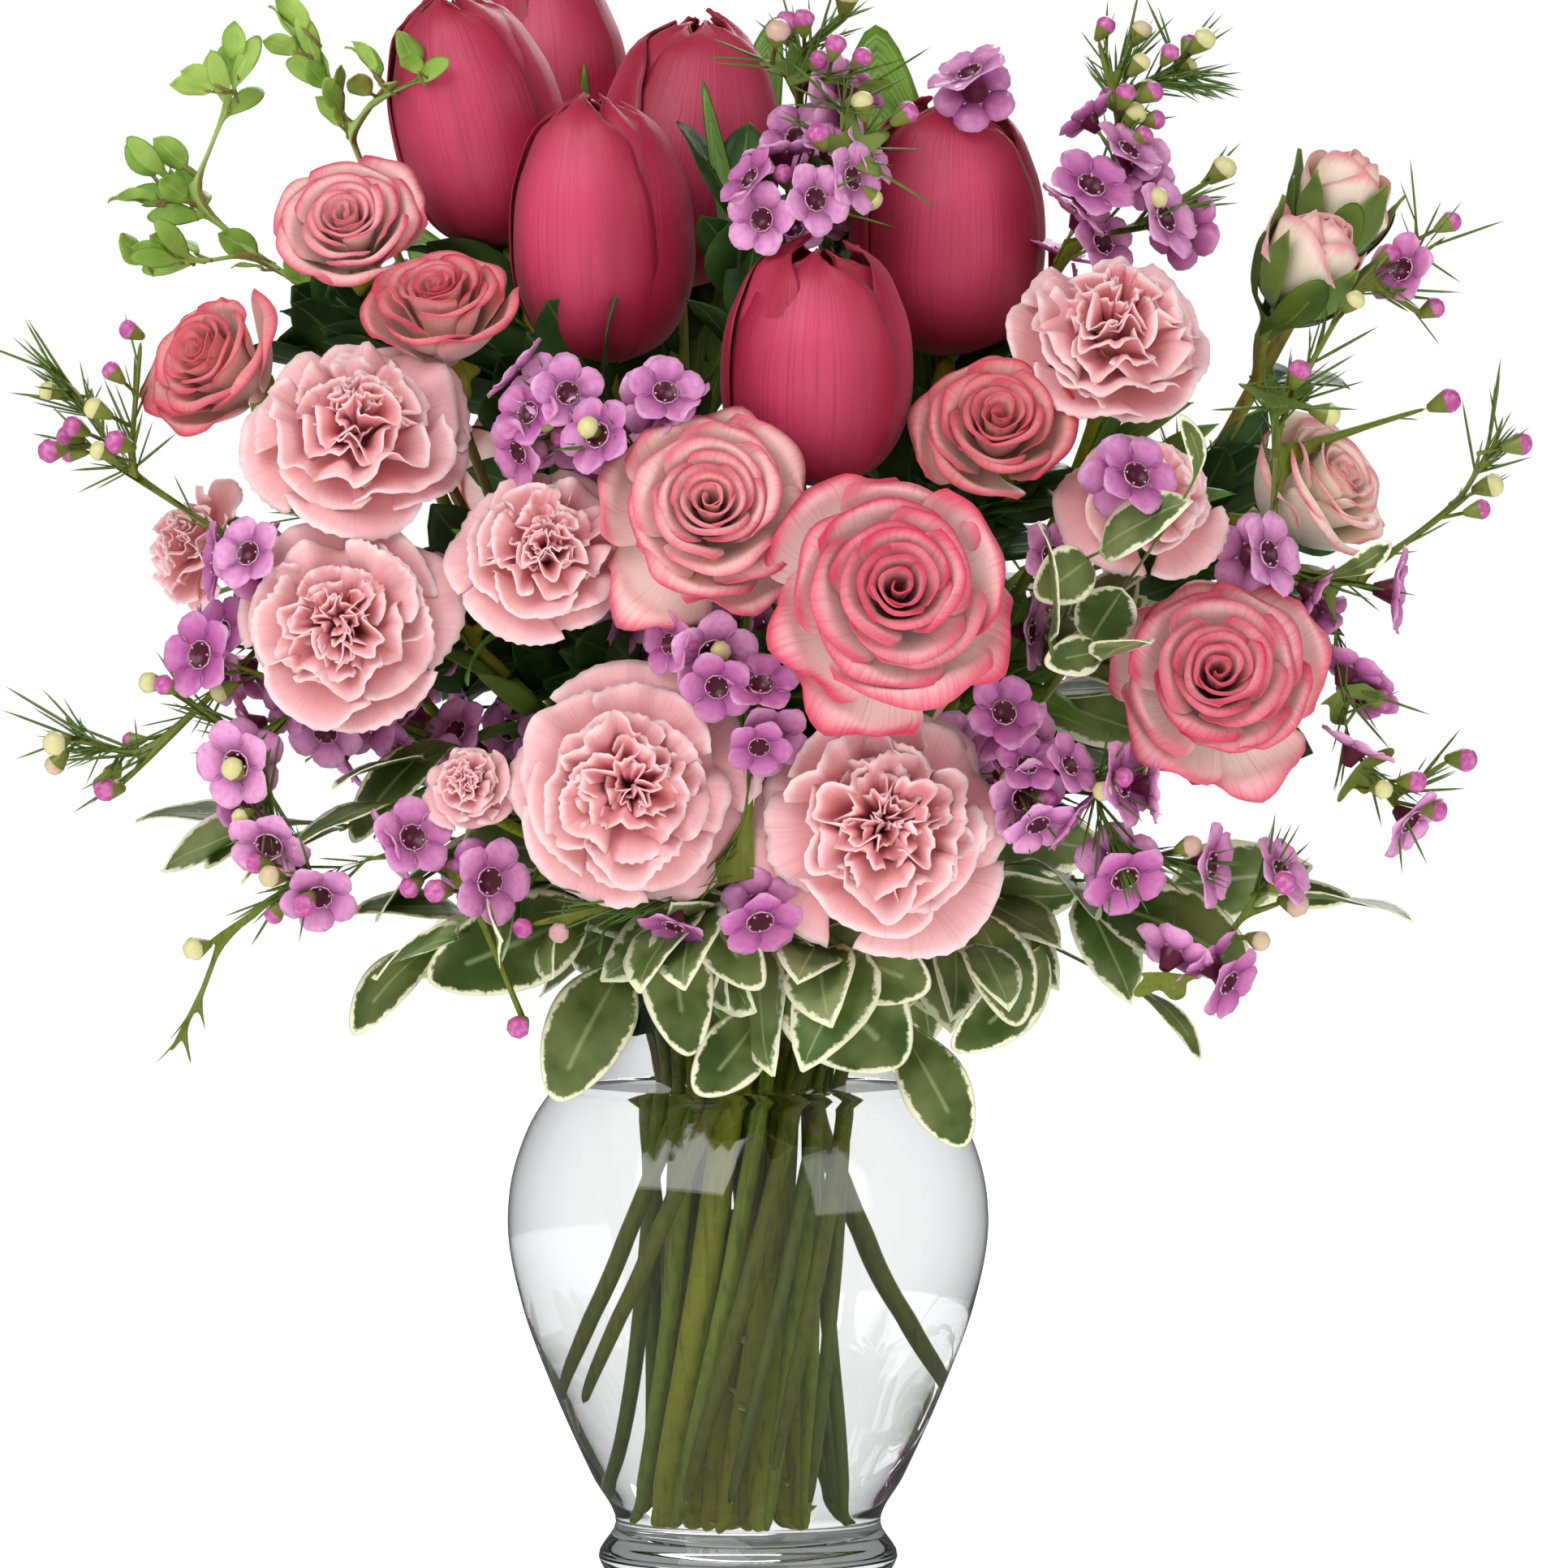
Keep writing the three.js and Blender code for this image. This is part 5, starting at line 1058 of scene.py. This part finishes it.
class BOUQUET_OT_waxflower(bpy.types.Operator):
    """Makes the waxflower's twigs, florets, buds and needles"""
    bl_idname = "bouquet.waxflower"
    bl_label = "Waxflower"

    def execute(self, context):
        twig = leaf_finish("wax_twig", "586c28", "74863a", "7f8f45", "707a22")
        green = leaf_finish("wax_needle", "4a6628", "708c3a", "8ca052", "5c7830")
        petal = wax_finish(settings().wax_colour)
        floret, needle = floret_shape(), turned_shape("needle_shape", NEEDLE_OUTLINE, 3, **ON_STEM)
        bud = turned_shape("bud_shape", BUD_OUTLINE, 8, zone=(3, 3, 3, 3, 4, 4, 4, 4, 4), along=0.0)
        stalked_floret = stalked_shape("stalked_floret", floret, 12, 3.0)
        stalked_bud = stalked_shape("stalked_bud", bud, 9, 4.0)
        room = Room()
        for k, node in enumerate(nodes_of("waxflower")):
            heads = {"florets": [], "buds": []}
            data = refined(node, 2, 0.22, heads)
            chance = random.Random(SEEDS["waxflower"] + k)
            florets = [(place, facing, chance.uniform(0.82, 1.0)) for place, facing in heads["florets"]]
            buds = [(place, facing, chance.uniform(0.85, 1.1)) for place, facing in heads["buds"]]
            near = [place for place, *_ in florets]
            more_florets = self.growth(data, room, chance, near, *GROWTH["stalked_florets"])
            more_buds = self.growth(data, room, chance, [], *GROWTH["stalked_buds"])
            needles = self.needles(data, room, chance)
            deliver(node + "_twigs", data, node, twig)
            for kind, spots, shape, material, seed, scale in (
                ("stalked_florets", more_florets, stalked_floret, petal, "stalks", 1.0),
                ("stalked_buds", more_buds, stalked_bud, petal, "stalks", 1.0),
                ("florets", florets, floret, petal, "florets", settings().floret_scale),
                ("buds", buds, bud, petal, "buds", 1.0),
                ("needles", needles, needle, green, "needles", 1.0),
            ):
                scatter(f"{node}_{kind}", spots, shape, material, SEEDS[seed] + k, node, scale)
        for shape in (floret, bud, needle, stalked_floret, stalked_bud):
            bpy.data.objects.remove(shape)
        return {"FINISHED"}

    def twig_faces(self, data, chance, count):
        """Faces of a spray's twigs above the vase, in a random order."""
        faces = [face for face in data.polygons if face.center.z > TWIGS_FROM]
        return chance.sample(faces, min(len(faces), count))

    def outward(self, face, chance, stray):
        """A way out of the bouquet from a face of a twig."""
        return (away(face.center, 0.8) + face.normal * 0.5 + drift(chance) * stray).normalized()

    def forward(self, data, face, chance):
        """A way along a twig to its tip, a little away from it."""
        points = [data.vertices[i].co for i in face.vertices]
        run = max((b - a for a, b in zip(points, points[1:] + points[:1])), key=lambda side: side.length)
        run = run.normalized() * (1 if run.dot(self.outward(face, chance, 0)) > 0 else -1)
        return (run + face.normal * 0.4 + drift(chance) * 0.16).normalized()

    def growth(self, data, room, chance, near, tries, stray, reach, free, takes, least, farthest, sizes, most,
               deepest):
        """Places for more florets or buds, in the room that the blooms leave."""
        spots, near = [], [np.array(place) for place in near]
        for face in self.twig_faces(data, chance, tries):
            facing = self.outward(face, chance, stray)
            middle = np.array(face.center + facing * reach * MM)
            close = min((np.linalg.norm(middle - other) for other in near), default=1.0)
            apart = least * MM < close < farthest * MM
            if depth_in(middle) > deepest or room.gap(middle) < free * MM or not apart:
                continue
            room.take(middle, takes * MM)
            near.append(middle)
            spots.append((face.center.copy(), facing, chance.uniform(*sizes)))
            if len(spots) == most:
                break
        return spots

    def needles(self, data, room, chance):
        """Places for needles on the twigs above the vase, most of them far out."""
        spots = []
        for face in self.twig_faces(data, chance, NEEDLE_TRIES):
            if depth_in(face.center) < NEEDLE_DEPTH and chance.random() < NEEDLES_OFF:
                continue
            facing = self.forward(data, face, chance)
            length = chance.uniform(0.5, 1.15)
            ends = [face.center + facing * share * length * NEEDLE_LENGTH * MM for share in (0.5, 1)]
            if room.gap(np.array(ends)) > NEEDLE_GAP:
                spots.append((face.center.copy(), facing, length))
            if len(spots) == NEEDLES:
                break
        return spots


VASE_OUTLINE = (
    (33, 0), (34.5, 3), (30.6, 11), (36, 22), (45, 42), (52.3, 62), (55.5, 82),
    (53.2, 96), (46.8, 109), (36, 120), (30.6, 128), (32.5, 136), (38, 142.5),
)
GLASS = 2.8
VASE_FLOOR = 6
WALL_FROM = 13
OUTLINE_STEPS = 90
WATER_LEVEL = 112
LIP_TOP = 144.5
# How far the water's side reaches into the glass, so that no gap shows between them.
WETTING = 0.15


class BOUQUET_OT_vase(bpy.types.Operator):
    """Makes the glass vase and the water in it"""
    bl_idname = "bouquet.vase"
    bl_label = "Vase and water"

    def execute(self, context):
        radii, heights = zip(*VASE_OUTLINE)
        at = np.linspace(heights[0], heights[-1], OUTLINE_STEPS)
        outer = list(zip(spline(heights, radii, at), at))
        inner = [(24, VASE_FLOOR), (28, 9)] + [(r - GLASS, z) for r, z in outer if z > WALL_FROM]
        lip = [(outer[-1][0] - 0.2, LIP_TOP - 0.7), (outer[-1][0] - GLASS / 2, LIP_TOP),
               (inner[-1][0] + 0.2, LIP_TOP - 0.7)]
        outline = [(0, 0.8), (22, 0.8), (27, 0), *outer, *lip, *inner[::-1], (0, VASE_FLOOR)]
        glass = Finish("glass", Roughness=0.0, IOR=1.45, Transmission_Weight=1.0, Specular_IOR_Level=0.06)
        # Painted shade: the glass is painted greyer where it turns away from view, and near black at its
        # outline, for the dark rim that glass shows.
        slope = glass.out("ShaderNodeLayerWeight", {}, {"Blend": 0.5}, "Facing")
        pale = glass.lay(tint("fdfefe"), slope.ease(0.2, 0.85), "d0d4d4")
        glass.set(Base_Color=glass.lay(pale, slope.ease(0.76, 0.97), "1c2224"))
        self.turn("vase_glass", outline, glass.material, "glass", "vase")
        wet = [(r + WETTING, z) for r, z in inner if z < WATER_LEVEL]
        top = wet[-1][0]
        outline = [(0, VASE_FLOOR - 0.1), *wet, (top + 0.1, WATER_LEVEL + 0.9), (top - 1.2, WATER_LEVEL),
                   (0, WATER_LEVEL)]
        clear = Finish("water", Roughness=0.0, IOR=1.333, Transmission_Weight=1.0, Specular_IOR_Level=0.0,
                       Base_Color=(0.995, 1.0, 0.997, 1))
        self.turn("vase_water", outline, clear.material, "water", "water")
        return {"FINISHED"}

    def turn(self, name, outline, material, slot, node):
        build = Build()
        lathe(build, outline, settings().vase_sides)
        deliver(name, build.mesh(name), node, material)


FLOOR_HALF = 4000
FLOOR_FACE = [(-FLOOR_HALF, -FLOOR_HALF, 0), (FLOOR_HALF, -FLOOR_HALF, 0), (FLOOR_HALF, FLOOR_HALF, 0),
              (-FLOOR_HALF, FLOOR_HALF, 0)]
# Name, place, size and power of each light.
LIGHTS = (
    ("key", (-0.9, -1.3, 1.5), 1.8, 26),
    ("fill", (1.2, -1.1, 0.7), 0.9, 4),
    ("back", (0.3, 1.4, 1.1), 1.0, 14),
)
LIGHTS_AIM = Vector((0.008, 0, 0.19))
CAMERA_AIM = Vector((0.0083, -0.03, 0.183))
CAMERA_AWAY = 2.7
CAMERA_RISE = math.radians(2.5)
CAMERA_LENS = 272
# The share of the white surround that lights the bouquet, and what is added to it inside the glass and
# taken from it in reflections.
AMBIENT = 0.38
IN_GLASS = 0.6
IN_SHINE = 0.25
# How bright the surround looks through the glass, what that loses higher up, and the share that it loses
# after a reflection inside the glass.
SEEN = 1.06
SEEN_FALL = 0.26
MIRROR_LOSS = 0.7


class BOUQUET_OT_stage(bpy.types.Operator):
    """Makes the pale floor, the lights and the camera"""
    bl_idname = "bouquet.stage"
    bl_label = "Stage"

    def execute(self, context):
        scene = context.scene
        floor = Finish("floor", Base_Color=(0.9, 0.9, 0.9, 1), Roughness=0.7,
                       Emission_Color=(1, 1, 1, 1), Emission_Strength=0.7)
        build = Build()
        build.add(FLOOR_FACE, [[0, 1, 2, 3]])
        ground = link("floor", build.mesh("floor"), floor.material)
        ground.visible_glossy = ground.visible_transmission = False
        scene.world = self.surround()
        for name, place, size, power in LIGHTS:
            light = bpy.data.lights.new(name, "AREA")
            light.size, light.energy = size, power
            self.aim(name, light, Vector(place), LIGHTS_AIM)
        camera = bpy.data.cameras.new("camera")
        camera.lens = CAMERA_LENS
        way = Vector((0, -math.cos(CAMERA_RISE), math.sin(CAMERA_RISE)))
        scene.camera = self.aim("camera", camera, CAMERA_AIM + CAMERA_AWAY * way, CAMERA_AIM)
        scene.view_settings.view_transform = "Standard"
        return {"FINISHED"}

    def aim(self, name, data, place, target):
        """A light or camera at a place, pointed at a target."""
        thing = bpy.data.objects.new(name, data)
        turn = (target - place).to_track_quat("-Z", "Y").to_matrix().to_4x4()
        thing.matrix_world = Matrix.Translation(place) @ turn
        bpy.context.scene.collection.objects.link(thing)
        return thing

    def surround(self):
        """A white surround that gives part of its light, and that glass shows a little darker higher up."""
        world = bpy.data.worlds.new("studio")
        world.use_nodes = True
        nodes = Nodes(world.node_tree)
        background = nodes.tree.nodes["Background"]
        path = nodes.add("ShaderNodeLightPath").outputs
        direct, through, shine, spread, mirrored = (Value(nodes, path[name]) for name in (
            "Is Camera Ray", "Is Transmission Ray", "Is Glossy Ray", "Diffuse Depth", "Glossy Depth"))
        view = through * (spread < 0.5)
        clear = 1.0 - (mirrored > 0.5) * MIRROR_LOSS
        height = nodes.out("ShaderNodeTexCoord", output="Generated").height()
        seen = SEEN - height.ease(0.0, 0.5) * SEEN_FALL
        given = AMBIENT + (through - view) * IN_GLASS - shine * (1.0 - through) * IN_SHINE
        level = view * (seen * clear - AMBIENT) + given
        background.inputs["Color"].default_value = (1, 1, 1, 1)
        nodes.plug(direct + (1.0 - direct) * level, background.inputs["Strength"])
        return world


class BOUQUET_PT_panel(bpy.types.Panel):
    """Lists the bouquet's settings and parts"""
    bl_idname = "BOUQUET_PT_panel"
    bl_label = "Bouquet"
    bl_space_type = "VIEW_3D"
    bl_region_type = "UI"
    bl_category = "Bouquet"

    def draw(self, context):
        for name in ("tulip_colour", "wax_colour", "floret_scale", "vase_sides"):
            self.layout.prop(context.scene.bouquet_settings, name)
        for operator in OPERATORS:
            self.layout.operator(operator.bl_idname)


OPERATORS = (
    BOUQUET_OT_stage, BOUQUET_OT_vase, BOUQUET_OT_tulips, BOUQUET_OT_roses, BOUQUET_OT_carnations,
    BOUQUET_OT_greens, BOUQUET_OT_waxflower, BOUQUET_OT_filling,
)
CLASSES = (BouquetSettings, *OPERATORS, BOUQUET_PT_panel)


def register():
    for cls in CLASSES:
        bpy.utils.register_class(cls)
    bpy.types.Scene.bouquet_settings = bpy.props.PointerProperty(type=BouquetSettings)


def unregister():
    del bpy.types.Scene.bouquet_settings
    for cls in reversed(CLASSES):
        bpy.utils.unregister_class(cls)


def main():
    register()
    for operator in OPERATORS:
        group, name = operator.bl_idname.split(".")
        getattr(getattr(bpy.ops, group), name)()


if __name__ == "__main__":
    main()
